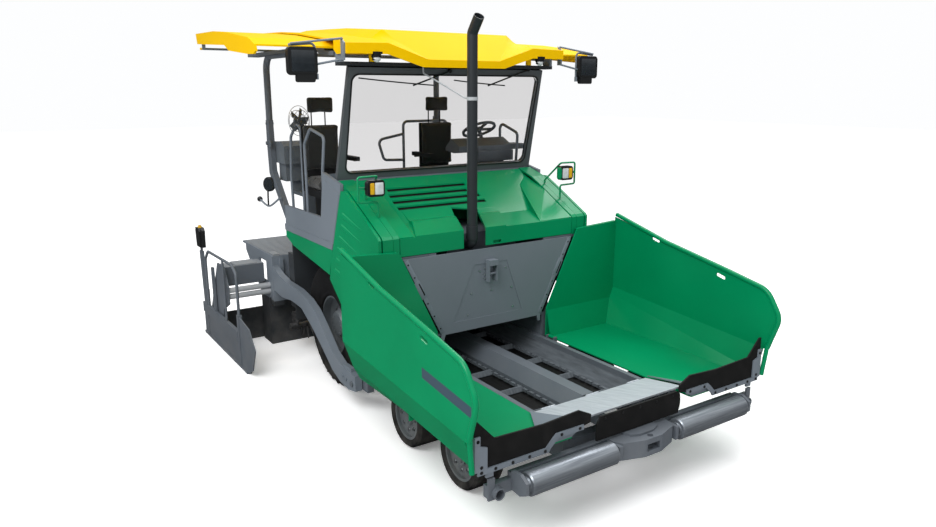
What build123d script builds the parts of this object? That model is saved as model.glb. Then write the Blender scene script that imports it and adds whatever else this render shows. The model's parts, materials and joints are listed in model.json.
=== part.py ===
from build123d import *
import math
import os

# Wheeled asphalt paver. Lengths are millimetres. +X is the way it travels (the hopper end), +Y is
# its left-hand side and +Z is up, with the ground at Z 0. Along X everything is set out from the
# rear axle; save() then shifts each piece so that the origin is the middle of the footprint.

# ---- Running gear ---------------------------------------------------------------------------
REAR_TYRE_R = 683
REAR_TYRE_W = 385
REAR_RIM_R = 320
REAR_WHEEL_Y = 957
FINAL_DRIVE_R = 150
FRONT_AXLES_X = (1720, 2600)
FRONT_TYRE_R = 280
FRONT_TYRE_W = 280
FRONT_RIM_R = 208
FRONT_WHEEL_Y = 1050
KINGPIN_Y = 800
KINGPIN_R = 22
STUB_AXLE_R = 40

# ---- Chassis, conveyor and bulkhead ---------------------------------------------------------
FRAME_BOTTOM_Z = 380
FRAME_BEAM_Y = (600, 650)
FRAME_REAR_X = -1000
FRAME_FRONT_X = 3180
FLOOR_Z = 645
LANE_Z = 450
CHAINS_Y = (180, 450)
BULKHEAD_X = 1412
BULKHEAD_T = 20
BULKHEAD_FOOT_Z = 870
BULKHEAD_FOOT_Y = 610
BULKHEAD_TOP_Z = 1670
BULKHEAD_TOP_Y = 1015

# ---- Hopper ---------------------------------------------------------------------------------
WING_HINGE_Y = 670
WING_HINGE_Z = 650
WING_Y = 1645
WING_REAR_X = 1446
WING_SKIN = 12
WING_FLANGE_X = 1417
REAR_SLOPE_X = 1530
RAIL_BACK_X = 3376
RAIL_T = 12
WING_PIN_R = 8
RUBBER_T = 15
WING_FLAP_X = 3391
APRON_HINGE_X = 2890
APRON_FRONT_X = 3372
APRON_FLAP_X = 3420
APRON_TIP_Z = 760

# ---- Push beam ------------------------------------------------------------------------------
PUSH_PIVOT_X = 3310
PUSH_BEAM_X = (3355, 3408)
PUSH_BEAM_Z = (395, 530)
PUSH_BEAM_Y = 1250
HITCH_X = 3555
HITCH_R = 25
ROLLER_X = 3510
ROLLER_Z = 475
ROLLER_R = 90
ROLLER_Y = (348, 1207)

# ---- Hood -----------------------------------------------------------------------------------
ENGINE_FRONT_X = 1230
HOOD_REAR_X = 470
HOOD_FRONT_X = 1410
HOOD_TOP_Z = 2300
LID_HINGE_X = 477
LID_HINGE_Z = 2285
HOOD_BREAK_X = 1090
HOOD_BREAK_Z = 1935
HOOD_NOSE_Z = 1862
HOOD_FOOT_Z = 1696
HOOD_SIDE_LINE = ((720, 2235), (940, 2125), (1180, 2000), (1385, 1893), (1410, 1868))
LID_HALF_W = 1030
HOOD_HALF_W = 1205
BODY_SIDE_Y = 1250
DOOR_INNER_Y = 1220
DOOR_HINGE = (1398, 1256)
DOOR_PIN_R = 5
SHEET = 15
EXHAUST_X = 1340
EXHAUST_Y = -195
EXHAUST_R = 50

# ---- Operator's platform and canopy ---------------------------------------------------------
DECK_Z = 1560
SCREEN_BASE = (447, 2310)
SCREEN_LEAN = 14.1
SCREEN_H = 1110
SCREEN_HALF_W = 1200
SCREEN_BAR = 72
ROOF_HALF_W = 1265
ROOF_FRONT_X = 930
ROOF_REAR_X = -1950
ROOF_SKIN = 15
CANOPY_BEAM_Z = 3600
RAIL_R = 12
RAILS_X = (380, -1300)
AWNING_Y = 1970
AWNING_INNER_Y = 900
POST_Y = 1165
POST_R = 38

# ---- Screed and augers ----------------------------------------------------------------------
TOW_X = 780
TOW_Z = 300
TOW_PIN_R = 30
TOW_ARM_Y = (1200, 1275)
SCREED_HALF_W = 1270
SCREED_FRONT_X = -1640
SCREED_REAR_X = -2500
WALKWAY_REAR_X = -2630
WALKWAY_Z = 1200
END_PLATE_Y = 1830
END_PLATE_T = 40
SCREED_TUBE_R = 34
CONTROL_X = -2560
CONTROL_REACH = 175
SCREED_TUBE_X = -1610
SCREED_TUBES_Z = (720, 798)
COVER_X = (-1950, -1700)
COVER_Z = (830, 1070)
COVER_TREAD_T = 12
AUGER_X = -1210
AUGER_Z = 340
AUGER_R = 180

HITCH_FRONT_X = 3600
FIT = 0.3

TO_MIDDLE = Location((-(HITCH_FRONT_X + CONTROL_X - CONTROL_REACH) / 2, 0, 0))
os.makedirs("parts", exist_ok=True)


def save(piece, name):
    """Labels a finished piece and writes it with the origin at the middle of the footprint."""
    piece.label = name
    placed = piece.moved(TO_MIDDLE)
    placed.label = name
    export_step(placed, f"parts/{name}.step")


def save_pair(piece, name):
    """Writes a left-hand piece and its mirror image on the right."""
    save(piece, f"{name}_left")
    save(mirror(piece, about=Plane.XZ, mode=Mode.PRIVATE), f"{name}_right")


def side(y):
    """A plane of the side view at Y, whose outlines are (x, z) and which extrudes to the right."""
    return Plane(origin=(0, y, 0), x_dir=(1, 0, 0), z_dir=(0, -1, 0))


def front(x):
    """A plane of the front view at X, whose outlines are (y, z) and which extrudes forwards."""
    return Plane.YZ.offset(x)


def panel(outline, plane, thickness, mode=Mode.ADD):
    """Extrudes a straight-sided outline from its plane."""
    with BuildSketch(plane) as flat:
        with BuildLine():
            Polyline(*outline, close=True)
        make_face()
    extrude(flat.sketch, amount=thickness, mode=mode)


def block(x, y, z, mode=Mode.ADD):
    """A box between two values on each axis."""
    with Locations(((x[0] + x[1]) / 2, (y[0] + y[1]) / 2, (z[0] + z[1]) / 2)):
        Box(x[1] - x[0], y[1] - y[0], z[1] - z[0], mode=mode)


def bar(start, end, radius, mode=Mode.ADD):
    """A round bar between two points."""
    along = Vector(*end) - Vector(*start)
    with BuildSketch(Plane(origin=start, z_dir=along)) as section:
        Circle(radius)
    extrude(section.sketch, amount=along.length, mode=mode)


def bent_bar(points, bend, radius):
    """A round bar along straight runs with arcs at the corners."""
    with BuildLine() as route:
        FilletPolyline(*points, radius=bend)
    with BuildSketch(Plane(origin=route.line @ 0, z_dir=route.line % 0)) as section:
        Circle(radius)
    sweep(section.sketch, path=route.line)


def facet(corners, thickness):
    """A flat plate from the corners of its top face, counted so that the face looks up."""
    along = Vector(*corners[1]) - Vector(*corners[0])
    plate = Plane(origin=corners[0], x_dir=along,
                  z_dir=along.cross(Vector(*corners[2]) - Vector(*corners[0])))
    flat = [plate.to_local_coords(Vector(*corner)) for corner in corners]
    with BuildSketch(plate) as face:
        with BuildLine():
            Polyline(*[(corner.X, corner.Y) for corner in flat], close=True)
        make_face()
    extrude(face.sketch, amount=-thickness)


def span(edge, low, high):
    """Two Y values on the left (edge 1) or mirrored to the right (edge -1), lowest first."""
    return tuple(sorted((edge * low, edge * high)))


def ring(profile, x, y, z, mode=Mode.ADD):
    """Turns a (radius, y) profile about an axle that runs along Y."""
    with BuildSketch(Plane(origin=(x, y, z), x_dir=(0, 0, 1), z_dir=(-1, 0, 0))) as section:
        with BuildLine():
            Polyline(*profile, close=True)
        make_face()
    revolve(section.sketch, axis=Axis((x, y, z), (0, 1, 0)), mode=mode)


# ---- Chassis --------------------------------------------------------------------------------
with BuildPart() as chassis:
    block((FRAME_REAR_X, 3270), FRAME_BEAM_Y, (FRAME_BOTTOM_Z, 630 - FIT))
    block((-960, BULKHEAD_X - FIT), (650, 730), (440, DECK_Z - 60))
    block((490, BULKHEAD_X - FIT), (650, 730), (1500, 1690 - FIT))
    block((490, 1405), (730, 1210), (1660, 1690 - FIT))
    block((1375, 1405), (1140, 1195), (1040, 1665))
    block((1389, 1407), (1190, DOOR_HINGE[1]), (1160, 1200))
    bar((*DOOR_HINGE, 1100), (*DOOR_HINGE, 1260), DOOR_PIN_R)
    block((-1110, -960), (1150, 1185), (640, 1300))
    block((960, 1140), (730, 1190), (400, 520))
    block((960, 1140), (730, 760), (520, 900))
    block((820, 960), (1120, 1190), (240, 440))
    block((850, 1140), (1120, 1190), (400, 520))
    block((700, 860), (1120, 1190), (240, 420))
    block((-960, -940), (650, 1185), (500, 1500))
    bar((0, 640, REAR_TYRE_R), (0, REAR_WHEEL_Y + 4 - FIT, REAR_TYRE_R), FINAL_DRIVE_R)
    bar((TOW_X, 1120, TOW_Z), (TOW_X, 1290, TOW_Z), TOW_PIN_R)
    for lug_x in (1500, 1610, 3080, 3190):
        block((lug_x, lug_x + 20), (645, 684), (600, 662))
    for pin_x in (1500, 3080):
        bar((pin_x, WING_HINGE_Y, WING_HINGE_Z), (pin_x + 130, WING_HINGE_Y, WING_HINGE_Z), WING_PIN_R)
    mirror(about=Plane.XZ)
    block((FRAME_FRONT_X, 3270), (-600, 600), (395, 540))
    for ear_z in (405, 500):
        block((3270, 3340), (-100, 100), (ear_z, ear_z + 35))
    bar((PUSH_PIVOT_X, 0, 400), (PUSH_PIVOT_X, 0, 540), KINGPIN_R + FIT, Mode.SUBTRACT)
    block((300, BULKHEAD_X - FIT), (-650, 650), (BULKHEAD_FOOT_Z - 10, BULKHEAD_FOOT_Z + 20))
    block((-900, 300), (-650, 650), (860, 880))
    block((-960, -900), (-650, 650), (900, 1500))
    block((2110, 2210), (-600, 600), (FRAME_BOTTOM_Z, 425))
    block((-1010, -960), (-650, 650), (505, 630 - FIT))
    block((AUGER_X - 80, -960), (-50, 50), (250, 630 - FIT))
save(chassis.part, "chassis")

with BuildPart() as front_axle:
    block((1590, 2730), (665, 745), (200, 365))
    for axle_x in FRONT_AXLES_X:
        block((axle_x - 60, axle_x + 60), (740, 850), (340, 365))
        block((axle_x - 60, axle_x + 60), (740, 850), (195, 220))
        bar((axle_x, KINGPIN_Y, 190), (axle_x, KINGPIN_Y, 370), KINGPIN_R + FIT, Mode.SUBTRACT)
    mirror(about=Plane.XZ)
    block((2110, 2210), (-665, 665), (250, FRAME_BOTTOM_Z - FIT))
save(front_axle.part, "front_axle")

# ---- Front wheels: solid rubber on steel rims, on steering knuckles --------------------------
for axle_x, place in zip(FRONT_AXLES_X, ("rear", "lead")):
    with BuildPart() as knuckle:
        bar((axle_x, KINGPIN_Y, 175), (axle_x, KINGPIN_Y, 385), KINGPIN_R)
        bar((axle_x, KINGPIN_Y, 225), (axle_x, KINGPIN_Y, 335), 42)
        bar((axle_x, KINGPIN_Y, 370), (axle_x, KINGPIN_Y, 385), 34)
        block((axle_x - 45, axle_x + 45), (KINGPIN_Y, 885), (235, 325))
        bar((axle_x, 880, FRONT_TYRE_R), (axle_x, 1165, FRONT_TYRE_R), STUB_AXLE_R)
    save_pair(knuckle.part, f"knuckle_{place}")

    half = FRONT_TYRE_W / 2
    with BuildPart() as front_tyre:
        ring([(FRONT_RIM_R, -half + 12), (FRONT_TYRE_R - 18, -half), (FRONT_TYRE_R, -half + 22),
              (FRONT_TYRE_R, half - 22), (FRONT_TYRE_R - 18, half), (FRONT_RIM_R, half - 12)],
             axle_x, FRONT_WHEEL_Y, FRONT_TYRE_R)
    save_pair(front_tyre.part, f"front_tyre_{place}")

    with BuildPart() as front_rim:
        rim_r = FRONT_RIM_R - FIT
        ring([(rim_r - 22, -half + 15), (rim_r, -half + 15), (rim_r, half - 15), (rim_r - 22, half - 15),
              (rim_r - 22, 95), (STUB_AXLE_R + FIT, 95), (STUB_AXLE_R + FIT, -50), (80, -50),
              (80, 70), (rim_r - 22, 70)],
             axle_x, FRONT_WHEEL_Y, FRONT_TYRE_R)
        ring([(STUB_AXLE_R + FIT, 95), (75, 95), (75, 118), (STUB_AXLE_R + FIT, 118)],
             axle_x, FRONT_WHEEL_Y, FRONT_TYRE_R)
    save_pair(front_rim.part, f"front_rim_{place}")

# ---- Rear wheels ----------------------------------------------------------------------------
half = REAR_TYRE_W / 2
with BuildPart() as rear_tyre:
    ring([(REAR_RIM_R, -half + 35), (REAR_RIM_R + 60, -half + 14), (480, -half), (600, -half + 8),
          (REAR_TYRE_R - 25, -half + 30), (REAR_TYRE_R, -half + 62), (REAR_TYRE_R, half - 62),
          (REAR_TYRE_R - 25, half - 30), (600, half - 8), (480, half), (REAR_RIM_R + 60, half - 14),
          (REAR_RIM_R, half - 35)],
         0, REAR_WHEEL_Y, REAR_TYRE_R)
save_pair(rear_tyre.part, "rear_tyre")

with BuildPart() as rear_rim:
    rim_r = REAR_RIM_R - FIT
    ring([(rim_r - 18, -150), (rim_r, -150), (rim_r, 150), (rim_r - 18, 150), (rim_r - 18, 60),
          (230, 30), (0, 30), (0, 4), (240, 4), (rim_r - 18, 30)],
         0, REAR_WHEEL_Y, REAR_TYRE_R)
    ring([(0, 30), (165, 30), (165, 60), (130, 120), (0, 120)], 0, REAR_WHEEL_Y, REAR_TYRE_R)
save_pair(rear_rim.part, "rear_rim")

# ---- Conveyor: floor plate, chains, slats and the raised cover between the two lanes ---------
with BuildPart() as conveyor:
    block((-955, 2850), (-FRAME_BEAM_Y[0] + FIT, FRAME_BEAM_Y[0] - FIT), (430, LANE_Z))
    for edge in (1, -1):
        for chain_y in CHAINS_Y:
            y_low, y_high = span(edge, chain_y - 12, chain_y + 12)
            block((-955, 2800), (y_low + 8, y_high - 8), (LANE_Z, 478))
            with Locations(*[(-869 + link * 93, edge * chain_y, 476) for link in range(40)]):
                Box(62, y_high - y_low, 28)
        for slat in range(8):
            slat_x = -800 + slat * 490
            panel([(slat_x - 35, LANE_Z), (slat_x - 35, 462), (slat_x - 10, 500), (slat_x + 10, 500),
                   (slat_x + 35, 462),
                   (slat_x + 35, LANE_Z)], side(max(edge * CHAINS_Y[0],
                                                    edge * CHAINS_Y[1])), CHAINS_Y[1] - CHAINS_Y[0])
        panel([(edge * 480, LANE_Z), (edge * 490, LANE_Z), (edge * (FRAME_BEAM_Y[0] - FIT), 560),
               (edge * (FRAME_BEAM_Y[0] - FIT), 576)], front(-900), 3740)
save(conveyor.part, "conveyor")

with BuildPart() as conveyor_cover:
    panel([(-150, LANE_Z + FIT), (-150, 510), (-60, 630), (60, 630), (150, 510), (150, LANE_Z + FIT)],
          front(0), 2840)
save(conveyor_cover.part, "conveyor_cover")

# ---- Bulkhead between the hopper and the engine bay -----------------------------------------
with BuildPart() as bulkhead:
    panel([(-BULKHEAD_FOOT_Y, BULKHEAD_FOOT_Z + 21), (-BULKHEAD_FOOT_Y, BULKHEAD_FOOT_Z - 60),
           (-BULKHEAD_FOOT_Y + 25, BULKHEAD_FOOT_Z - 60), (-BULKHEAD_FOOT_Y + 45, BULKHEAD_FOOT_Z),
           (BULKHEAD_FOOT_Y - 45, BULKHEAD_FOOT_Z), (BULKHEAD_FOOT_Y - 25, BULKHEAD_FOOT_Z - 60),
           (BULKHEAD_FOOT_Y, BULKHEAD_FOOT_Z - 60), (BULKHEAD_FOOT_Y, BULKHEAD_FOOT_Z + 21),
           (BULKHEAD_TOP_Y, BULKHEAD_TOP_Z), (-BULKHEAD_TOP_Y, BULKHEAD_TOP_Z)],
          front(BULKHEAD_X), BULKHEAD_T)
    hatch = [(-470, 980), (360, 980), (160, 1520), (-230, 1520)]
    with BuildSketch(front(BULKHEAD_X + BULKHEAD_T)) as groove:
        with BuildLine():
            Polyline(*hatch, close=True)
        make_face()
        offset(amount=3, kind=Kind.INTERSECTION)
        offset(groove.sketch, amount=-7, kind=Kind.INTERSECTION, mode=Mode.SUBTRACT)
    extrude(groove.sketch, amount=-5, mode=Mode.SUBTRACT)
    front_face = BULKHEAD_X + BULKHEAD_T
    for ear_y in (-95, -5):
        block((front_face - 1, front_face + 60), (ear_y, ear_y + 12), (1340, 1530))
    block((front_face - 1, front_face + 75), (-95, 7), (1505, 1560))
    bar((front_face + 35, -95, 1420), (front_face + 35, 7, 1420), 12)
save(bulkhead.part, "bulkhead")

with BuildPart() as engine_block:
    block((500, ENGINE_FRONT_X), (-420, 420), (BULKHEAD_FOOT_Z + 20 + FIT, 1800))
save(engine_block.part, "engine_block")

# ---- Hopper wings ---------------------------------------------------------------------------
rail_line = ((1470, 1850), (2180, 1665), (2920, 1525), (3380, 1430), (3530, 1200), (3432, 900))


def wing_section(x, fold_z, foot_z, lip_z):
    """The wing's lower beam at X: floor, inner slope, outer fold and sloped outer skin."""
    lip_y = 1550 + (WING_Y - 1550) * (lip_z - foot_z) / (fold_z - foot_z) - WING_SKIN
    with BuildSketch(front(x)) as section:
        with BuildLine():
            Polyline((WING_HINGE_Y + 3, FLOOR_Z - 10), (1490, FLOOR_Z - 10), (1550, foot_z), (WING_Y, fold_z),
                     (WING_Y - WING_SKIN, fold_z), (lip_y, lip_z), (1480, FLOOR_Z), (WING_HINGE_Y + 3,
                                                                                     FLOOR_Z),
                     close=True)
        make_face()
    return section.sketch


with BuildPart() as hopper_wing:
    loft([wing_section(WING_REAR_X, 1033, 753, 960), wing_section(WING_FLAP_X - FIT, 886, 630, 665)],
         ruled=True)
    panel([(WING_REAR_X, 1020), (WING_REAR_X, 1820), *rail_line[1:5], (3432, 880)], side(WING_Y), WING_SKIN)
    panel([(WING_HINGE_Y + 3, FLOOR_Z - 4), (1485, FLOOR_Z - 4), (1545, 757), (1638, 1033), (1640, 1780),
           (1070, 1750),
           (842, 1280), (WING_HINGE_Y + 3, 930)],
          front(WING_REAR_X), SHEET)
    facet([(WING_REAR_X + 5, 680, 955), (REAR_SLOPE_X, 680, FLOOR_Z - 4), (REAR_SLOPE_X, 1484, FLOOR_Z - 4),
           (WING_REAR_X + 5, 1606, 955)], 10)
    panel([(1080, 1739), (1640, 1768), (1640, 1780), (1080, 1751)], front(WING_FLANGE_X),
          WING_REAR_X - WING_FLANGE_X + 5)
    for slot_x, slot_z in ((2045, 1666), (2872, 1450)):
        with BuildSketch(side(WING_Y + 1)) as slot:
            with Locations((slot_x, slot_z)):
                SlotOverall(105, 34, rotation=-14)
        extrude(slot.sketch, amount=WING_SKIN + 2, mode=Mode.SUBTRACT)
    with BuildLine() as rail_route:
        FilletPolyline(*[(x, WING_Y - 10, z) for x, z in rail_line], radius=[400, 500, 200, 150])
    with BuildSketch(Plane(origin=rail_route.line @ 0, z_dir=rail_route.line % 0)) as rail_section:
        Circle(22)
    sweep(rail_section.sketch, path=rail_route.line)
    bar((3432, WING_Y - 12, 925), (3418, 1600, 640), 20)
    block((1480, 3300), (760, 1400), (FLOOR_Z - 60, FLOOR_Z - 10))
    block((1500, 3280), (772, 1388), (FLOOR_Z - 61, FLOOR_Z - 18), Mode.SUBTRACT)
    for rib_x in (1960, 2420, 2880):
        block((rib_x, rib_x + 12), (765, 1395), (FLOOR_Z - 60, FLOOR_Z - 10))
    block((2360, 2372), (1395, 1500), (FLOOR_Z - 60, FLOOR_Z - 5))
    for pin_x in (1521, 3101):
        with BuildSketch(front(pin_x)) as sleeve:
            with Locations((WING_HINGE_Y, WING_HINGE_Z)):
                Circle(2 * WING_PIN_R)
        extrude(sleeve.sketch, amount=88)
        for notch_x in (pin_x - 27, pin_x + 88):
            block((notch_x, notch_x + 27), (WING_HINGE_Y - 20, 692), (600, 680), Mode.SUBTRACT)
        bar((pin_x - 1, WING_HINGE_Y, WING_HINGE_Z), (pin_x + 89, WING_HINGE_Y, WING_HINGE_Z),
            WING_PIN_R + FIT,
            Mode.SUBTRACT)
save_pair(hopper_wing.part, "hopper_wing")

# Steel that is bolted to the wing's front edge: sill beside the apron, clamp rail and corner plate.
with BuildPart() as wing_rail:
    facet([(2890, WING_HINGE_Y + 6, FLOOR_Z + 9), (RAIL_BACK_X, 965, FLOOR_Z + 9),
           (RAIL_BACK_X, 600, APRON_TIP_Z)], 8)
    panel([(600, 690), (600, 751), (958, 650), (958, FLOOR_Z + FIT), (676, FLOOR_Z + FIT)],
          front(RAIL_BACK_X),
          WING_FLAP_X - RAIL_BACK_X - FIT)
    panel([(580, 690), (830, 690), (900, 630), (920, 600), (1550, 600), (1550, 640), (945, 640), (885, 700),
           (850, 730),
           (580, 730)], front(WING_FLAP_X + RUBBER_T + FIT), RAIL_T)
    panel([(1470, 630), (1576, 630), (1576, 895), (1530, 895), (1530, 820), (1470, 800)],
          front(WING_FLAP_X + RUBBER_T + FIT), RAIL_T)
    block((WING_FLAP_X, WING_FLAP_X + RUBBER_T + 1), (1571, 1576), (660, 880))
    block((RAIL_BACK_X + 12, WING_FLAP_X + RUBBER_T + 1), (1410, 1470), (560, 599))
save_pair(wing_rail.part, "wing_rail")

with BuildPart() as wing_flap:
    panel([(500, 725), (640, 700), (860, 690), (950, 600), (1540, 600), (1570, 640), (1570, 1000),
           (1545, 1000),
           (1400, 845), (960, 830), (620, 850), (500, 790)], front(WING_FLAP_X), RUBBER_T)
save_pair(wing_flap.part, "wing_flap")

# ---- Front apron with its rubber flap --------------------------------------------------------
with BuildPart() as apron:
    panel([(APRON_HINGE_X, FLOOR_Z), (APRON_FRONT_X, APRON_TIP_Z), (APRON_FRONT_X, APRON_TIP_Z - 15),
           (APRON_HINGE_X, FLOOR_Z - 15)], side(665), 1330)
    for edge in (1, -1):
        cut = [(APRON_HINGE_X, edge * 652), (APRON_FRONT_X + 1, edge * 558), (APRON_FRONT_X + 1, edge * 700),
               (APRON_HINGE_X, edge * 700)]
        panel(cut, Plane.XY.offset(500), 400, Mode.SUBTRACT)
        block((3200, APRON_FLAP_X), span(edge, 300, 320), (600, 722))
    for barrel_y in (-490, 0, 490):
        bar((APRON_HINGE_X, barrel_y - 70, FLOOR_Z), (APRON_HINGE_X, barrel_y + 70, FLOOR_Z), 9)
save(apron.part, "apron")

with BuildPart() as apron_flap:
    panel([(-460, 565), (460, 565), (460, 700), (430, 762), (-430, 762), (-460, 700)],
          front(APRON_FLAP_X + FIT), RUBBER_T)
save(apron_flap.part, "apron_flap")

# ---- Push beam and rollers -------------------------------------------------------------------
with BuildPart() as push_beam:
    block(PUSH_BEAM_X, (-PUSH_BEAM_Y, PUSH_BEAM_Y), PUSH_BEAM_Z)
    bar((PUSH_PIVOT_X, 0, 445), (PUSH_PIVOT_X, 0, 495), 38)
    block((PUSH_PIVOT_X, 3360), (-38, 38), (445, 495))
    bar((PUSH_PIVOT_X, 0, 405), (PUSH_PIVOT_X, 0, 535), KINGPIN_R)
    panel([(3400, -320), (3480, -320), (3540, -280), (HITCH_FRONT_X, -90), (HITCH_FRONT_X, 90), (3540, 280),
           (3480, 320), (3400, 320)], Plane.XY.offset(PUSH_BEAM_Z[0]), 145)
    panel([(3400, -180), (3490, -150), (3522, -70), (3522, 70), (3490, 150), (3400, 180)],
          Plane.XY.offset(530), 28)
    block((3500, HITCH_FRONT_X + 1), (-70, 70), (435, 495), Mode.SUBTRACT)
    bar((HITCH_X, 0, 380), (HITCH_X, 0, 600), HITCH_R, Mode.SUBTRACT)
    for edge in (1, -1):
        y_low, y_high = span(edge, 1222, 1250)
        panel([(3400, 400), (3400, 550), (3500, 560), (3575, 520), (3575, 430), (3500, 392)], side(y_high),
              28)
        block((3400, 3560), span(edge, 300, 333), (415, 530))
        bar((ROLLER_X, edge * 325, ROLLER_Z), (ROLLER_X, edge * 1240, ROLLER_Z), 20)
        block(PUSH_BEAM_X, span(edge, 1250, 1460), (395, 490))
        block((3400, 3418), span(edge, 1405, 1460), (380, 550))
        bar((3350, edge * 1389, 432), (3460, edge * 1389, 432), 45)
        bar((3380, edge * 1389, 432), (3461, edge * 1389, 432), 36, Mode.SUBTRACT)
        panel([(3400, edge * 700), (3430, edge * 660), (3430, edge * 600), (3400, edge * 560)],
              Plane.XY.offset(400), 18)
save(push_beam.part, "push_beam")

with BuildPart() as push_roller:
    length = ROLLER_Y[1] - ROLLER_Y[0]
    ring([(20 + FIT, 0), (55, 0), (60, 12), (ROLLER_R - 8, 12), (ROLLER_R, 22), (ROLLER_R, length - 22),
          (ROLLER_R - 8, length - 12), (60, length - 12), (55, length), (20 + FIT, length)],
         ROLLER_X, ROLLER_Y[0], ROLLER_Z)
save_pair(push_roller.part, "push_roller")

# ---- Hood ------------------------------------------------------------------------------------
with BuildPart() as hood_body:
    for edge in (1, -1):
        panel([(HOOD_REAR_X, 1690), (HOOD_REAR_X, 2310), *HOOD_SIDE_LINE, (HOOD_FRONT_X, 1690)],
              side(max(edge * (LID_HALF_W + 6), edge * HOOD_HALF_W)), HOOD_HALF_W - LID_HALF_W - 6)
        panel([(HOOD_REAR_X + 15, 1680), (HOOD_REAR_X + 15, 2288),
               *[(x - 7, z - 17) for x, z in HOOD_SIDE_LINE[:4]],
               (HOOD_FRONT_X - 15, 1860), (HOOD_FRONT_X - 15, 1680)],
              side(max(edge * (LID_HALF_W - 10), edge * (HOOD_HALF_W - SHEET))),
              HOOD_HALF_W - LID_HALF_W + 10 - SHEET, Mode.SUBTRACT)
        panel([*[(x - 3, z - 6) for x, z in HOOD_SIDE_LINE], (HOOD_FRONT_X - 5, 1700),
               (HOOD_FRONT_X + 5, 1700),
               *[(x + 3, z + 6) for x, z in HOOD_SIDE_LINE[::-1]]],
              side(max(edge * 1098, edge * 1102)), 4, Mode.SUBTRACT)
    block((HOOD_REAR_X, HOOD_REAR_X + 15), (-LID_HALF_W - 20, LID_HALF_W + 20), (1690, 2270))
    for hinge_y in (-600, 600):
        for lug_y in (hinge_y - 80, hinge_y + 40):
            block((HOOD_REAR_X, HOOD_REAR_X + 15), (lug_y, lug_y + 40), (2260, 2295))
        bar((LID_HINGE_X, hinge_y - 80, LID_HINGE_Z), (LID_HINGE_X, hinge_y + 80, LID_HINGE_Z), WING_PIN_R)
    for edge in (1, -1):
        panel([(-967, DECK_Z + 40 - FIT), (-967, 1525), (-745, 1449), (265, 1320), (350, 1560),
               (360, DECK_Z + 40 - FIT)],
              side(max(edge * (BODY_SIDE_Y - 35), edge * (BODY_SIDE_Y - 5))), 30)
        block((300, 489), span(edge, 1190, 1216), (1500, 1555))
        block((HOOD_REAR_X, 489), span(edge, 1150, 1204), (1500, 1700))
save(hood_body.part, "hood_body")

# The lid: a thin shell with louvres on the slope, a raised box each side of the exhaust's recess,
# and a sloping cheek up to each side strip.
with BuildPart() as right_box:
    panel([(930, 2022), (930, 2033), (1070, 1958), (1130, 1958), (HOOD_FRONT_X, HOOD_NOSE_Z + 12),
           (HOOD_FRONT_X, HOOD_NOSE_Z - 20), (1120, 1910)], side(LID_HALF_W), 2 * LID_HALF_W)
    panel([(900, -750), (1130, -746), (HOOD_FRONT_X + 1, -866), (HOOD_FRONT_X + 1, -338), (1130, -212),
           (900, -190)],
          Plane.XY.offset(1600), 700, Mode.INTERSECT)
with BuildPart() as left_box:
    panel([(1000, 1962), (1000, 1991), (1040, 1953), (1100, 1953), (HOOD_FRONT_X, HOOD_NOSE_Z + 12),
           (HOOD_FRONT_X, HOOD_NOSE_Z - 20), (1120, 1910)], side(LID_HALF_W), 2 * LID_HALF_W)
    panel([(990, 100), (990, 365), (HOOD_FRONT_X + 1, 165), (HOOD_FRONT_X + 1, -83)],
          Plane.XY.offset(1600), 700, Mode.INTERSECT)

with BuildPart() as hood_lid:
    panel([(HOOD_REAR_X + 20, HOOD_TOP_Z), (HOOD_BREAK_X, HOOD_BREAK_Z), (HOOD_FRONT_X, HOOD_NOSE_Z),
           (HOOD_FRONT_X, HOOD_FOOT_Z), (HOOD_FRONT_X - SHEET, HOOD_FOOT_Z),
           (HOOD_FRONT_X - SHEET, HOOD_NOSE_Z - 12), (HOOD_BREAK_X, HOOD_BREAK_Z - SHEET),
           (HOOD_REAR_X + 20, HOOD_TOP_Z - SHEET)],
          side(LID_HALF_W), 2 * LID_HALF_W)
    add(right_box.part)
    add(left_box.part)
    facet([(592, LID_HALF_W, 2240), (725, 860, 2157), (1395, 615, 1868), (950, LID_HALF_W, 2113)], 60)
    facet([(950, LID_HALF_W, 2113), (1395, 615, 1868), (HOOD_FRONT_X - 5, LID_HALF_W, 1872)], 60)
    facet([(HOOD_FRONT_X - 5, -LID_HALF_W, 1872), (HOOD_FRONT_X - 5, -880, 1870), (720, -835, 2160),
           (592, -LID_HALF_W, 2225)], 40)
    # The cheeks are trimmed flush with the lid's edges, so they pass the side strips as it lifts.
    block((HOOD_REAR_X, HOOD_FRONT_X), (-LID_HALF_W, LID_HALF_W), (HOOD_FOOT_Z, HOOD_TOP_Z), Mode.INTERSECT)
    for slot_x, low_y, high_y in ((646, -756, 180), (730, -775, 151), (812, -780, 256), (896, -772, 274)):
        block((slot_x - 24, slot_x + 24), (low_y, high_y), (1930, 2300), Mode.SUBTRACT)
    panel([(945, -188), (1000, 100), (HOOD_FRONT_X + 1, -83), (HOOD_FRONT_X + 1, -338), (1175, -262)],
          Plane.XY.offset(1600), 450, Mode.SUBTRACT)
    panel([(HOOD_FRONT_X - 2, 1700), (HOOD_FRONT_X - 2, 1745), (HOOD_FRONT_X - 40, 1745),
           (HOOD_FRONT_X - 40, 1700)],
          side(120), 120)
    block((HOOD_FRONT_X - 30, HOOD_FRONT_X + 1), (12, 108), (1708, 1737), Mode.SUBTRACT)
    for hinge_y in (-600, 600):
        block((LID_HINGE_X - 9, HOOD_REAR_X + 30), (hinge_y - 35, hinge_y + 35),
              (LID_HINGE_Z - 9, HOOD_TOP_Z - 1))
        bar((LID_HINGE_X, hinge_y - 36, LID_HINGE_Z), (LID_HINGE_X, hinge_y + 36, LID_HINGE_Z),
            WING_PIN_R + FIT,
            Mode.SUBTRACT)
save(hood_lid.part, "hood_lid")

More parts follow.
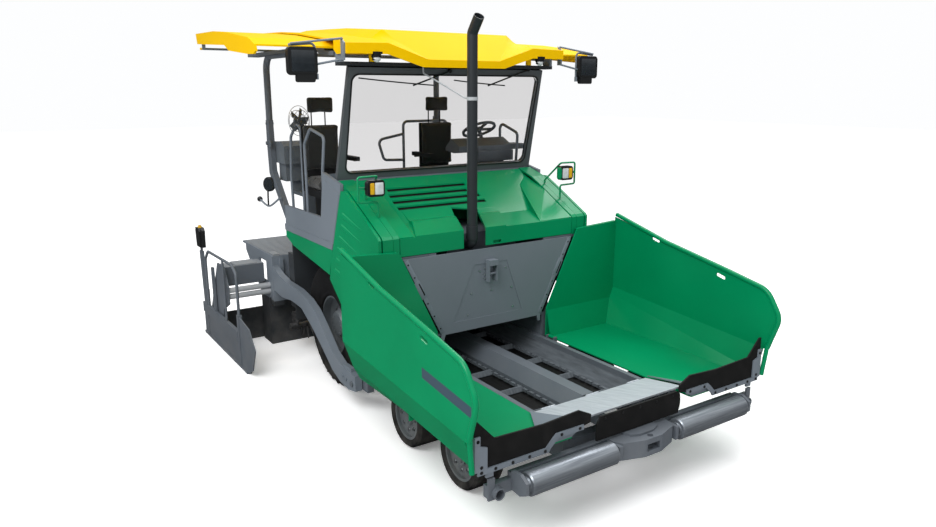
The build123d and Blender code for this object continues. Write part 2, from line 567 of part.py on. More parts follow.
# Side doors are hung on the post at their front edge; slots let air in behind each raised rib.
rib_starts = ((660, 1995), (625, 1878), (560, 1755), (513, 1633), (472, 1515), (432, 1400))
with BuildPart() as side_door:
    panel([(278, 1277), (560, 1050), (HOOD_FRONT_X, 1050), *HOOD_SIDE_LINE[::-1], (634, 2231), (483, 1861),
           (337, 1491)],
          side(BODY_SIDE_Y), BODY_SIDE_Y - DOOR_INNER_Y)
    panel([(330, 1287), (575, 1070), (HOOD_FRONT_X - 20, 1070), (HOOD_FRONT_X - 20, 1855),
           *[(x - 9, z - 20) for x, z in HOOD_SIDE_LINE[3::-1]], (648, 2208), (500, 1850), (360, 1490)],
          side(BODY_SIDE_Y - 12), 30, Mode.SUBTRACT)
    for rib_x, rib_z in rib_starts:
        with BuildSketch(Plane(origin=(rib_x, BODY_SIDE_Y - 2, rib_z), x_dir=(0, 1, 0),
                               z_dir=(0.98, 0, -0.2))) as wedge:
            with BuildLine():
                Polyline((0, -34), (12, -22), (12, 22), (0, 34), close=True)
            make_face()
        with BuildSketch(Plane(origin=(rib_x + 440, BODY_SIDE_Y - 2, rib_z - 90), x_dir=(0, 1, 0),
                               z_dir=(0.98, 0, -0.2))) as tip:
            with BuildLine():
                Polyline((0, -6), (2, -4), (2, 4), (0, 6), close=True)
            make_face()
        loft([wedge.sketch, tip.sketch])
        block((rib_x - 16, rib_x + 6), (BODY_SIDE_Y - 13, BODY_SIDE_Y + 1), (rib_z - 26, rib_z + 26),
              Mode.SUBTRACT)
    for barrel_z in ((1100, 1150), (1210, 1260)):
        bar((*DOOR_HINGE, barrel_z[0]), (*DOOR_HINGE, barrel_z[1]), 9)
        bar((*DOOR_HINGE, barrel_z[0] - 1), (*DOOR_HINGE, barrel_z[1] + 1), DOOR_PIN_R + FIT, Mode.SUBTRACT)
    block((1375, HOOD_FRONT_X + 1), (1200, 1270), (1153, 1207), Mode.SUBTRACT)
save_pair(side_door.part, "side_door")

with BuildPart() as exhaust:
    bent_bar([(ENGINE_FRONT_X + FIT, EXHAUST_Y, 1700), (EXHAUST_X, EXHAUST_Y, 1700),
              (EXHAUST_X, EXHAUST_Y, 3690),
              (EXHAUST_X + 110, EXHAUST_Y, 3830)], 60, EXHAUST_R)
    bar((EXHAUST_X, EXHAUST_Y, 1760), (EXHAUST_X, EXHAUST_Y, 1890), 58)
    bar((EXHAUST_X + 70, EXHAUST_Y, 3779), (EXHAUST_X + 111, EXHAUST_Y, 3831), EXHAUST_R - 4, Mode.SUBTRACT)
    bar((EXHAUST_X, EXHAUST_Y, 3085), (EXHAUST_X, EXHAUST_Y, 3115), EXHAUST_R + 4)
    bent_bar([(EXHAUST_X - 40, EXHAUST_Y, 3100), (EXHAUST_X - 130, EXHAUST_Y - 5, 3110), (950, -235, 3210),
              (790, -400, 3340), (790, -400, 3399 - FIT)], 20, 8)
save(exhaust.part, "exhaust")

# ---- Operator's platform ---------------------------------------------------------------------
with BuildPart() as platform:
    block((-1000, 460), (-650, 650), (1500 + FIT, DECK_Z))
    block((-1000, 460), (-1214, 1214), (DECK_Z, DECK_Z + 40))
    for edge in (1, -1):
        y_high = max(edge * 1210, edge * 1245)
        panel([(-970, 1600), (362, 1600), (468, 1861), (605, 2200), (612, 2290), (460, 2320), (190, 2370),
               (100, 1900),
               (-950, 1890)], side(y_high), 35)
        panel([(-975, 1600), (367, 1600), (392, 1672), (-985, 1672)], side(max(edge * 1243, edge * 1251)), 8)
        panel([(205, 1690), (380, 1690), (460, 1865), (590, 2190), (225, 2300), (140, 1905)],
              side(max(edge * 1243, edge * 1248)), 5)
        block((190, 460), span(edge, 1060, 1212), (1860, 1890))
        panel([(190, 1600), (190, 2340), (440, 2290), (440, 1600)], side(max(edge * 1060, edge * 1075)), 15)
        block((190, 205), span(edge, 1062, 1212), (1600, 2350))
    block((400, 460), (-1210, 1210), (1600, SCREEN_BASE[1] - FIT))
save(platform.part, "platform")

# ---- Windscreen ------------------------------------------------------------------------------
screen_plane = Plane(origin=(SCREEN_BASE[0], 0, SCREEN_BASE[1]), x_dir=(0, 1, 0),
                     z_dir=(math.cos(math.radians(SCREEN_LEAN)), 0, -math.sin(math.radians(SCREEN_LEAN))))
with BuildPart() as windscreen_frame:
    with BuildSketch(screen_plane):
        with BuildLine():
            Polyline((-SCREEN_HALF_W, 0), (SCREEN_HALF_W, 0), (SCREEN_HALF_W - 45, SCREEN_H),
                     (45 - SCREEN_HALF_W, SCREEN_H),
                     close=True)
        make_face()
        with Locations((0, SCREEN_H / 2)):
            RectangleRounded(2 * (SCREEN_HALF_W - SCREEN_BAR - 20), SCREEN_H - 2 * SCREEN_BAR, 70,
                             mode=Mode.SUBTRACT)
    extrude(amount=-50)
    with BuildSketch(screen_plane) as seal:
        with Locations((0, SCREEN_H / 2)):
            RectangleRounded(2 * (SCREEN_HALF_W - SCREEN_BAR) - 10, SCREEN_H - 2 * SCREEN_BAR + 30, 80)
            RectangleRounded(2 * (SCREEN_HALF_W - SCREEN_BAR - 20), SCREEN_H - 2 * SCREEN_BAR, 70,
                             mode=Mode.SUBTRACT)
    extrude(seal.sketch, amount=5)
save(windscreen_frame.part, "windscreen_frame")

with BuildPart() as windscreen_glass:
    with BuildSketch(screen_plane.offset(-20)):
        with Locations((0, SCREEN_H / 2)):
            RectangleRounded(2 * (SCREEN_HALF_W - SCREEN_BAR - 20 - FIT), SCREEN_H - 2 * SCREEN_BAR - 2 * FIT,
                             69)
    extrude(amount=-8)
save(windscreen_glass.part, "windscreen_glass")

# ---- Canopy ----------------------------------------------------------------------------------
# Each row is one rib of the roof: X, half width and height of the middle, then of the shoulder, then the
# edge's height.
roof_ribs = (
    (ROOF_FRONT_X, 420, 3462, 850, 3600, 3590),
    (740, 640, 3625, 855, 3637, 3625),
    (600, 740, 3745, 860, 3662, 3642),
    (500, 740, 3752, 860, 3668, 3648),
    (-200, 740, 3807, 860, 3745, 3735),
    (-700, 740, 3828, 860, 3785, 3778),
    (-1300, 740, 3850, 860, 3808, 3800),
    (ROOF_REAR_X, 740, 3830, 860, 3790, 3782),
)
with BuildPart() as canopy_roof:
    shells = []
    for x, middle_y, middle_z, shoulder_y, shoulder_z, edge_z in roof_ribs:
        crest = [(ROOF_HALF_W, edge_z), (shoulder_y, shoulder_z), (middle_y, middle_z), (-middle_y, middle_z),
                 (-shoulder_y, shoulder_z), (-ROOF_HALF_W, edge_z)]
        with BuildSketch(front(x)) as rib:
            with BuildLine():
                Polyline(*crest, *[(y, z - ROOF_SKIN) for y, z in reversed(crest)], close=True)
            make_face()
        shells.append(rib.sketch)
    loft(shells, ruled=True)
    panel([(ROOF_HALF_W, 3588), (850, 3598), (420, 3460), (-420, 3460), (-850, 3598), (-ROOF_HALF_W, 3588),
           (-ROOF_HALF_W, 3500), (-850, 3500), (-480, 3390), (480, 3390), (850, 3500), (ROOF_HALF_W, 3500)],
          front(ROOF_FRONT_X - ROOF_SKIN), ROOF_SKIN)
    for edge in (1, -1):
        panel([(640, 3540), (700, 3500), (ROOF_FRONT_X, 3500), (ROOF_FRONT_X, 3588), (740, 3620),
               (640, 3630)],
              side(max(edge * ROOF_HALF_W, edge * (ROOF_HALF_W - 30))), 30)
        bar((ROOF_FRONT_X - 30, edge * 960, 3470), (ROOF_FRONT_X - 30, edge * 960, 3520), 45)
        bar((ROOF_FRONT_X - 30, edge * 960, 3445), (ROOF_FRONT_X - 30, edge * 960, 3471), 38)
        block((ROOF_FRONT_X - 75, ROOF_FRONT_X - 10), span(edge, 915, 1005), (3500, 3520))
        block((640, 760), span(edge, ROOF_HALF_W - 45, ROOF_HALF_W - 15), (3399, 3600))
    panel([(ROOF_REAR_X, 3820), (-1300, 3838), (-200, 3795), (200, 3770), (200, CANOPY_BEAM_Z + 1),
           (ROOF_REAR_X, CANOPY_BEAM_Z + 1)], side(60), 120)
    block((640, 760), (-ROOF_HALF_W + 10, ROOF_HALF_W - 10), (3399, 3435))
    block((750, ROOF_FRONT_X - 5), (-460, 460), (3399, 3415))
    for edge in (1, -1):
        panel([(750, edge * 900), (750, edge * 960), (ROOF_FRONT_X - 5, edge * 960),
               (ROOF_FRONT_X - 5, edge * 900)],
              Plane.XY.offset(3500), 20)
        block((740, 760), span(edge, 900, 960), (3430, 3520))
save(canopy_roof.part, "canopy_roof")

with BuildPart() as awning:
    awning_top = [(-1418, 3773), (-731, 3759), (-269, 3720), (370, 3639), (544, 3573)]
    panel(awning_top + [(x, z - 16) for x, z in reversed(awning_top)], side(AWNING_Y),
          AWNING_Y - AWNING_INNER_Y)
    panel(awning_top + [(563, 3515), (495, 3490), (338, 3496), (-240, 3549), (-375, 3607), (-1383, 3664)],
          side(AWNING_Y), 20)
    for rail_x in RAILS_X:
        bar((rail_x, 870, CANOPY_BEAM_Z + RAIL_R + FIT), (rail_x, AWNING_Y - 5, CANOPY_BEAM_Z + RAIL_R + FIT),
            RAIL_R)
    for hanger_y in (905, AWNING_Y - 60):
        block((RAILS_X[1] - 15, RAILS_X[1] + 15), (hanger_y, hanger_y + 30), (CANOPY_BEAM_Z + RAIL_R, 3765))
save_pair(awning.part, "awning")

# Rear posts: a bent tube on a flat bar, joined where the canopy folds for transport.
with BuildPart() as canopy_posts:
    for edge in (1, -1):
        bent_bar([(-500, edge * POST_Y, 3562), (-1545, edge * POST_Y, 3562), (-1545, edge * POST_Y, 2700)],
                 170, POST_R)
        panel([(-1595, 2830), (-1600, 2560), (-1575, 2200), (-1000, 1600 + FIT), (-885, 1600 + FIT),
               (-1460, 2235),
               (-1488, 2560), (-1500, 2830)], side(max(edge * (POST_Y - 30), edge * (POST_Y + 30))), 60)
        bar((-1545, edge * (POST_Y - 45), 2790), (-1545, edge * (POST_Y + 47), 2790), 14)
        bar((-1535, edge * (POST_Y - 45), 2560), (-1535, edge * (POST_Y + 60), 2560), 22)
        panel([(-1560, 2600), (-1450, 2600), (-1430, 2560), (-1450, 2510), (-1560, 2510)],
              side(max(edge * (POST_Y + 30), edge * (POST_Y + 42))), 12)
    for rail_x in RAILS_X:
        block((rail_x - 25, rail_x + 25), (-POST_Y - 50, POST_Y + 50), (3560, CANOPY_BEAM_Z))
    for edge in (1, -1):
        panel([(-1900, 3560), (-1900, CANOPY_BEAM_Z), (405, CANOPY_BEAM_Z), (405, 3545), (620, 3530),
               (620, 3490),
               (300, 3510), (200, 3560)], side(max(edge * (POST_Y - 35), edge * (ROOF_HALF_W - 3))),
              ROOF_HALF_W - POST_Y + 32)
save(canopy_posts.part, "canopy_posts")

# ---- Operator's stand: seats, consoles and handrails -----------------------------------------
# Each row is one seat: X and Y of its middle, and the side its armrest is on.
seat_places = ((-550, -930, 1), (-450, 505, -1))
with BuildPart() as seat_bases:
    for seat_x, seat_y, arm_edge in seat_places:
        block((seat_x - 20, seat_x + 340), (seat_y - 150, seat_y + 150), (1600 + FIT, 1640))
        block((seat_x + 20, seat_x + 300), (seat_y - 110, seat_y + 110), (1640, 2050))
        block((seat_x - 40, seat_x + 420), (seat_y - 200, seat_y + 200), (2050, 2130))
        block((seat_x - 90, seat_x - 60), (seat_y - 200, seat_y + 200), (2110, 2800))
        block((seat_x - 90, seat_x - 40), (seat_y - 200, seat_y + 200), (2080, 2130))
        arm_y = seat_y + arm_edge * 270
        block((seat_x - 90, seat_x + 330), (arm_y - 32, arm_y + 32), (2420, 2465))
        block((seat_x - 90, seat_x - 60), span(1, seat_y + arm_edge * 190, arm_y), (2400, 2450))
        for rod_y in (seat_y - 80, seat_y + 80):
            bar((seat_x - 66, rod_y, 2780), (seat_x - 66, rod_y, 2960), 7)
            bar((seat_x - 66, rod_y, 2955), (seat_x - 20, rod_y, 2975), 6)
save(seat_bases.part, "seat_bases")

with BuildPart() as seats:
    for seat_x, seat_y, _ in seat_places:
        with BuildSketch(Plane.XY.offset(2130 + FIT)) as cushion:
            with Locations((seat_x + 200, seat_y)):
                RectangleRounded(450, 440, 60)
        extrude(cushion.sketch, amount=120)
        with BuildSketch(front(seat_x - 60 + FIT)) as back:
            with Locations((seat_y, 2560)):
                RectangleRounded(440, 520, 70)
        extrude(back.sketch, amount=90)
        with BuildSketch(front(seat_x - 45)) as headrest:
            with Locations((seat_y, 3020)):
                RectangleRounded(310, 180, 50)
        extrude(headrest.sketch, amount=80)
        for rod_y in (seat_y - 80, seat_y + 80):
            block((seat_x - 74, seat_x - 58), (rod_y - 8, rod_y + 8), (2770, 2990), Mode.SUBTRACT)
            bar((seat_x - 66, rod_y, 2955), (seat_x - 19, rod_y, 2975.5), 6 + FIT, Mode.SUBTRACT)
save(seats.part, "seats")

with BuildPart() as consoles:
    panel([(-60, 2500), (-60, 2540), (60, 2640), (230, 2560), (230, 2500), (120, 2480)], side(1110), 730)
    block((-30, 200), (1100, 1340), (2500, 2560))
    block((60, 230), (700, 1000), (1600 + FIT, 2500))
    block((40, 250), (620, 1120), (2380, 2500))
    bar((20, 850, 2560), (-60, 850, 2715), 22)
    with BuildSketch(Plane(origin=(-60, 850, 2715), z_dir=(-80, 0, 155))):
        Circle(205)
        Circle(178, mode=Mode.SUBTRACT)
        Rectangle(24, 400)
        Rectangle(400, 24)
    extrude(amount=24)
    bar((-60, 850, 2715), (-70, 850, 2750), 50)
    block((-1500, -1200), (-1130, -760), (2330, 2540))
    panel([(-1500, 2540), (-1500, 2580), (-1300, 2580), (-1200, 2540)], side(-760), 370)
    block((-1480, -1260), (-1100, -800), (2120, 2332))
    block((-1400, -1300), (-1000, -850), (1990, 2130))
    block((-1400, -960), (-1000, -850), (1960, 2000))
    block((-1000, -960), (-1000, -850), (1600 + FIT, 1990))
    block((-1205, -1192), (-1090, -940), (2380, 2490))
save(consoles.part, "consoles")

with BuildPart() as handrails:
    for points in (
            [(-60, 1160, 1600 + FIT), (-70, 1160, 2800), (280, 1160, 2690), (250, 1160, 2300),
             (250, 1160, 1890 + FIT)],
            [(60, -1190, 1600 + FIT), (70, -1190, 2360), (145, -1190, 2720), (-220, -1190, 2785),
             (-400, -1190, 2615),
             (-380, -1190, 1600 + FIT)],
            [(-750, 210, 1600 + FIT), (-750, 210, 2810), (-750, 830, 2810), (-750, 830, 1600 + FIT)],
            [(-1040, -1110, 1600 + FIT), (-1040, -1110, 1750), (-1060, -1110, 2220), (-1010, -1110, 2660),
             (-830, -1110, 2800),
             (-700, -1110, 2790), (-690, -1110, 1600 + FIT)],
            [(-750, 198, 2350), (-750, -61, 2360), (-750, -134, 2600), (-750, 203, 2660)]):
        bent_bar(points, 60, 16)
save(handrails.part, "handrails")

with BuildPart() as mirrors:
    for edge in (1, -1):
        panel([(830, 3440), (890, 3440), (900, 3590), (830, 3640)],
              side(max(edge * (ROOF_HALF_W + FIT), edge * 1280)), 15 - FIT)
        bar((860, edge * 1272, 3630), (860, edge * 1760, 3570), 10)
        bar((860, edge * 1272, 3450), (860, edge * 1560, 3395), 10)
        with BuildSketch(front(835)) as head:
            with Locations((edge * 1665, 3425)):
                RectangleRounded(270, 240, 40)
        extrude(head.sketch, amount=60)
        with BuildSketch(front(892)) as face:
            with Locations((edge * 1665, 3425)):
                RectangleRounded(236, 206, 30)
        extrude(face.sketch, amount=8)
        with BuildSketch(front(845)) as lower:
            with Locations((edge * 1640, 3280)):
                RectangleRounded(170, 70, 20)
        extrude(lower.sketch, amount=50)
        bent_bar([(840, edge * 1530, 3300), (840, edge * 1530, 3580), (840, edge * 1770, 3560)], 40, 11)
        block((835, 865), span(edge, 1515, 1545), (3270, 3320))
save(mirrors.part, "mirrors")

with BuildPart() as work_lamps:
    for edge in (1, -1):
        with BuildSketch(front(1125)) as lamp:
            with Locations((edge * 1140, 2308)):
                RectangleRounded(176, 150, 34)
        extrude(lamp.sketch, amount=62)
        with BuildSketch(front(1187)) as bezel:
            with Locations((edge * 1140, 2308)):
                RectangleRounded(160, 134, 28)
                RectangleRounded(140, 114, 20, mode=Mode.SUBTRACT)
        extrude(bezel.sketch, amount=10)
        block((1090, 1130), span(edge, 1100, 1180), (2270, 2346))
        bent_bar([(1130, edge * 1100, 2032), (1130, edge * 1100, 2175), (1130, edge * 1300, 2180),
                  (1130, edge * 1300, 2412), (1130, edge * 1100, 2415), (867, edge * 1100, 2205),
                  (867, edge * 1100, 2168)], 22, 10)
        block((1125, 1140), span(edge, 1220, 1300), (2295, 2320))
save(work_lamps.part, "work_lamps")

# ---- Tow arms and screed ---------------------------------------------------------------------
with BuildPart() as tow_arms:
    for edge in (1, -1):
        y_low, y_high = span(edge, *TOW_ARM_Y)
        panel([(-1440 + FIT, 1072), (-1225, 1003), (-1004, 968), (-616, 960), (-331, 914), (-132, 838),
               (54, 708),
               (320, 499), (526, 417), (TOW_X + 80, 400), (TOW_X + 80, 240), (684, 204), (478, 226), (298,
                                                                                                      288),
               (26, 465), (-261, 636), (-532, 764), (-835, 777), (-1163, 743), (-1440 + FIT, 766)],
              side(y_high), y_high - y_low)
        bar((TOW_X, y_low - 1, TOW_Z), (TOW_X, y_high + 1, TOW_Z), TOW_PIN_R + FIT, Mode.SUBTRACT)
        for plate_x, plate_z in ((560, 320), (640, 305)):
            bar((plate_x, edge * TOW_ARM_Y[1] - edge, plate_z),
                (plate_x, edge * (TOW_ARM_Y[1] + 12), plate_z), 20)
        panel([(560, 396), (740, 396), (740, 440), (560, 440)], side(max(edge * 1215, edge * 1260)), 45)
save(tow_arms.part, "tow_arms")

with BuildPart() as screed_frame:
    block((-1660, SCREED_FRONT_X), (-1245, 1245), (0, 640))
    block((-1990, -1660), (-1245, 1245), (0, 200))
    block((-1640, -1440), (-1245, 1245), (620, 680))
    block((-1520, -1440), (-SCREED_HALF_W, SCREED_HALF_W), (680, WALKWAY_Z - 30))
    block((WALKWAY_REAR_X, -1440), (-SCREED_HALF_W, SCREED_HALF_W), (WALKWAY_Z - 30, WALKWAY_Z - 8))
    with Locations(*[(WALKWAY_REAR_X + 52 + tread * 73, 0, WALKWAY_Z - 4.5) for tread in range(16)]):
        Box(44, 2 * SCREED_HALF_W - 24, 9)
    block((-1990, -1520), (-60, 60), (200, WALKWAY_Z - 30))
    for edge in (1, -1):
        y_high = max(edge * 1245, edge * SCREED_HALF_W)
        panel([(-1440, 640), (-1440, WALKWAY_Z - 30), (SCREED_REAR_X, WALKWAY_Z - 30), (SCREED_REAR_X, 1090),
               (-1960, 640), (-1960, 0), (-1640, 0), (-1640, 640)], side(y_high), SCREED_HALF_W - 1245)
        for tube_z in SCREED_TUBES_Z:
            bar((SCREED_TUBE_X, edge * 1200, tube_z), (SCREED_TUBE_X, edge * 1300, tube_z),
                SCREED_TUBE_R + FIT,
                Mode.SUBTRACT)
        block((COVER_X[0] - 6, COVER_X[1] + 6), span(edge, 1200, 1300),
              (COVER_Z[0] - 6, COVER_Z[1] + COVER_TREAD_T + 6), Mode.SUBTRACT)
        block((-1470, -1440), span(edge, 1268, 1278), (560, WALKWAY_Z - 12))
        block((-1570, -1440), span(edge, 1150, 1272), (560, 650))
        block((-1600, -1440), span(edge, 1180, 1260), (WALKWAY_Z - 10, WALKWAY_Z + 18))
        panel([(-1440, 950), (-1440, 1160), (-1400, 1175), (-1400, 930)], side(max(edge * 1150, edge * 1195)),
              45)
save(screed_frame.part, "screed_frame")

with BuildPart() as screed_extension:
    block((-2400, -2000), (700, END_PLATE_Y - 25), (0, 200))
    block((-2020, -2000), (700, END_PLATE_Y - 25), (200, 420))
    panel([(-1560, 640), (-1560, 860), (-1690, 1080), (-1960, 1080), (-2400, 400), (-2400, 0), (-2000, 0),
           (-1800, 520)],
          side(END_PLATE_Y - 25), 20)
    for tube_z in SCREED_TUBES_Z:
        bar((SCREED_TUBE_X, 640, tube_z), (SCREED_TUBE_X, END_PLATE_Y - 30, tube_z), SCREED_TUBE_R)
    block(COVER_X, (1300, END_PLATE_Y - 30), COVER_Z)
    block((COVER_X[0] + 10, COVER_X[1] - 10), (1380, 1650), (COVER_Z[1] - 2, COVER_Z[1] + COVER_TREAD_T))
    for rib_y in (860, 1160, 1480):
        panel([(-2020, 190), (-2380, 190), (-2020, 420)], side(rib_y), 12)
save_pair(screed_extension.part, "screed_extension")

# End gates: a blade that slides along the ground, on two posts joined by a grab hoop.
with BuildPart() as end_gate:
    panel([(-2630, 0), (-813, 0), (-637, 88), (-503, 363), (-688, 563), (-1076, 627), (-1076, 430),
           (-2630, 430)],
          side(END_PLATE_Y + 15), 15)
    panel([(-2630, 300), (-1100, 300), (-1100, 430), (-2630, 430)], side(END_PLATE_Y + 27), END_PLATE_T)
    block((-2630, -800), (END_PLATE_Y - 25 + FIT, END_PLATE_Y + 30), (0, 30))
    for post_x in (-1090, -2470):
        block((post_x, post_x + 60), (END_PLATE_Y - 20, END_PLATE_Y + 27), (40, 640))
    panel([(-2560, 425), (-2430, 425), (-2520, 1130), (-2610, 1130)], side(END_PLATE_Y + 20), 36)
    bent_bar([(-1060, END_PLATE_Y + 4, 600), (-1060, END_PLATE_Y + 4, 1130), (-1210, END_PLATE_Y + 4, 1205),
              (-2240, END_PLATE_Y + 4, 1180), (-2400, END_PLATE_Y + 4, 1050), (-2400, END_PLATE_Y + 4,
                                                                               425)], 70, 17)
    block((-2120, -2060), (END_PLATE_Y - 14, END_PLATE_Y + 16), (425, 1000))
    bar((-1600, END_PLATE_Y + 4, 425), (-1600, END_PLATE_Y + 4, 1190), 14)
    bar((CONTROL_X, END_PLATE_Y + 2, 1120), (CONTROL_X, END_PLATE_Y + 2, 1200), 16)
    panel([(CONTROL_X - 80, 1190), (CONTROL_X + 80, 1190), (CONTROL_X + 100, 1400), (CONTROL_X + 60, 1440),
           (CONTROL_X - 60, 1440), (CONTROL_X - 100, 1400)],
          side(END_PLATE_Y + 40), 75)
    for wing in (1, -1):
        panel([(CONTROL_X + wing * 70, 1180), (CONTROL_X + wing * (CONTROL_REACH - 5), 1200),
               (CONTROL_X + wing * CONTROL_REACH, 1420), (CONTROL_X + wing * 90, 1435)],
              side(END_PLATE_Y + 20), 35)
save_pair(end_gate.part, "end_gate")

# Augers: flights are a chain of short blade pieces that climb round the shaft.
with BuildPart() as auger:
    bar((AUGER_X, 50 + FIT, AUGER_Z), (AUGER_X, 1180, AUGER_Z), 40)
    climb = [Location((AUGER_X, 90 + step * 30, AUGER_Z), (0, step * 40, 0)) for step in range(35)]
    with Locations(*[turn * Location(((30 + AUGER_R) / 2, 0, 0), (-21, 0, 0)) for turn in climb]):
        Box(AUGER_R - 30, 14, 112)
save_pair(auger.part, "auger")
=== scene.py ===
# %% [markdown]
# # A wheeled asphalt paver
# The solid parts come from a CAD model and stay exactly where they are. This script gives them their
# finishes and adds the small fittings, rubber, cushions, lamps and tread that such a machine carries.

# %% Load the machine
import math
import json

import bpy
import bmesh
from mathutils import Matrix, Vector

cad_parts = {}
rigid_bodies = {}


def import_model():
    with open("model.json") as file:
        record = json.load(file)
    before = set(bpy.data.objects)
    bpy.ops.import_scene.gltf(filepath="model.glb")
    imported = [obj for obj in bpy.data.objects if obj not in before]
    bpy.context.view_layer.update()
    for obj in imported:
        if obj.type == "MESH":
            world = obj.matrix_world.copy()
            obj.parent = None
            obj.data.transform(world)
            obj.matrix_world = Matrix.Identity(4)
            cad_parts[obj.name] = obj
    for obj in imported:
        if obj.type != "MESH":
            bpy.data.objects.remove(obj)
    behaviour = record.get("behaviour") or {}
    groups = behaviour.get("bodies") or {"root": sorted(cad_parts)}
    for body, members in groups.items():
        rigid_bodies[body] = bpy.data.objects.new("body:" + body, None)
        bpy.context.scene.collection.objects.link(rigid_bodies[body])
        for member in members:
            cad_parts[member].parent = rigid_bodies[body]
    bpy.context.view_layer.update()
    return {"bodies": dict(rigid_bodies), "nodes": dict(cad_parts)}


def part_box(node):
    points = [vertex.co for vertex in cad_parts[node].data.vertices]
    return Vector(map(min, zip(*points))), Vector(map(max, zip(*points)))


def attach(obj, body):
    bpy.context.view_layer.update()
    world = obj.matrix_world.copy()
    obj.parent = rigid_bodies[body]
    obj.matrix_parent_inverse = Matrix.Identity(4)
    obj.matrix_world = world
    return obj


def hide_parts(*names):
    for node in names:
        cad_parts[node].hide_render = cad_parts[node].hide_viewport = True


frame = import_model()
nodes = frame["nodes"]

# %% [markdown]
# Everything on this machine is measured the way a fitter would measure it: ahead of the rear axle, to the
# left of the middle and above the ground. So the first step is to find the axle in the model.

# %% Where the rear axle is
rear_low, rear_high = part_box("rear_tyre_left")
AXLE_X = (rear_low[0] + rear_high[0]) / 2
SIDES = {"left": 1, "right": -1}
FORWARD = Vector((1, 0, 0))
root = next(name for name, part in frame["bodies"].items() if part.parent is None)


def from_axle(x, y, z):
    """A point given by its distance ahead of the rear axle, to the left and above the ground."""
    return Vector((AXLE_X + x, y, z))


print("rear axle at", round(AXLE_X, 4), "root body", root)

# %% [markdown]
# ## Finishes
# Paint on a working machine is never one flat colour: it is a little deeper here and there, it has the
# faint ripple of sprayed enamel, and road dust settles low down. Each of those effects could be drawn by
# hand in every material, but a node group lets one drawing serve them all, with its own amounts.

# %% An empty node group
COLOR, FLOAT, VECTOR = "NodeSocketColor", "NodeSocketFloat", "NodeSocketVector"


def node_group(name, inputs, outputs):
    """An empty shader node group with named sockets."""
    group = bpy.data.node_groups.new(name, "ShaderNodeTree")
    for socket_name, kind, value in inputs:
        socket = group.interface.new_socket(socket_name, in_out="INPUT", socket_type=kind)
        socket.default_value = value
    for socket_name, kind in outputs:
        group.interface.new_socket(socket_name, in_out="OUTPUT", socket_type=kind)
    start = group.nodes.new("NodeGroupInput")
    end = group.nodes.new("NodeGroupOutput")
    return group, start, end


print("socket kinds", COLOR, FLOAT, VECTOR)

# %% [markdown]
# Placing nodes by script is wordy: make a node, set it up, link each socket. A few helpers say the same
# in one line. Besides placing any node, they cover what comes up most: a sum, a mix of two colours, a
# range laid onto another, and where a point of the surface lies.

# %% Helpers that place and wire nodes
def feed(tree, node, **inputs):
    """Fills sockets, called by name or by number as i0, i1: with a link from a node, or a plain value."""
    for key, value in inputs.items():
        numbered = key[0] == "i" and key[1:].isdigit()
        socket = node.inputs[int(key[1:]) if numbered else key.replace("_", " ")]
        if isinstance(value, bpy.types.NodeSocket):
            tree.links.new(value, socket)
        else:
            socket.default_value = value
    return node


def add(tree, kind, settings=None, **inputs):
    """Adds a node with its own settings and fills its sockets."""
    node = tree.nodes.new(kind)
    for key, value in (settings or {}).items():
        setattr(node, key, value)
    return feed(tree, node, **inputs)


def maths(tree, operation, *values, clamp=False):
    """The result of a sum on numbers."""
    settings = {"operation": operation, "use_clamp": clamp}
    numbered = {f"i{index}": value for index, value in enumerate(values)}
    return add(tree, "ShaderNodeMath", settings, **numbered).outputs[0]


def blend(tree, share, first, second):
    """A colour that goes from the first to the second as the share goes from 0 to 1."""
    return add(tree, "ShaderNodeMix", {"data_type": "RGBA"}, i0=share, i6=first, i7=second).outputs[2]


def stretch(tree, value, span=(0.0, 1.0), onto=(0.0, 1.0)):
    """A value's span laid onto another one, and held at its ends."""
    return add(tree, "ShaderNodeMapRange", Value=value, From_Min=span[0], From_Max=span[1],
               To_Min=onto[0], To_Max=onto[1]).outputs["Result"]


def own_place(tree):
    """Where a point lies on the machine, in metres."""
    return add(tree, "ShaderNodeTexCoord").outputs["Object"]


print("node helpers ready")

# %% [markdown]
# Sprayed paint: a slow cloud of noise deepens the colour, and a fine noise gives the ripple that
# breaks up reflections. The slow cloud is sized in metres, because the machine is built in metres.

# %% Paint group
paint, start, end = node_group(
    "sprayed paint",
    [("Color", COLOR, (0.5, 0.5, 0.5, 1)), ("Deep Color", COLOR, (0.3, 0.3, 0.3, 1)),
     ("Cloud Size", FLOAT, 0.6), ("Ripple", FLOAT, 0.1)],
    [("Color", COLOR), ("Mask", FLOAT), ("Normal", VECTOR)])
place = own_place(paint)
clouds_in_metre = maths(paint, "DIVIDE", 1.0, start.outputs["Cloud Size"])
cloud = add(paint, "ShaderNodeTexNoise", Vector=place, Scale=clouds_in_metre, Detail=4.0)
mask = stretch(paint, cloud.outputs["Fac"], (0.35, 0.7))
peel = add(paint, "ShaderNodeTexNoise", Vector=place, Scale=90.0, Detail=2.0)
bump = add(paint, "ShaderNodeBump", Strength=start.outputs["Ripple"], Distance=0.002,
           Height=peel.outputs["Fac"])
feed(paint, end, Color=blend(paint, mask, start.outputs["Color"], start.outputs["Deep Color"]),
     Mask=mask, Normal=bump.outputs["Normal"])
print("group", paint.name)

# %% [markdown]
# Road dust lies where spray and crumbs reach: it fades with height above the ground and is broken up by
# noise. The group gives back the dusted colour and the mask, so that roughness can rise with it.

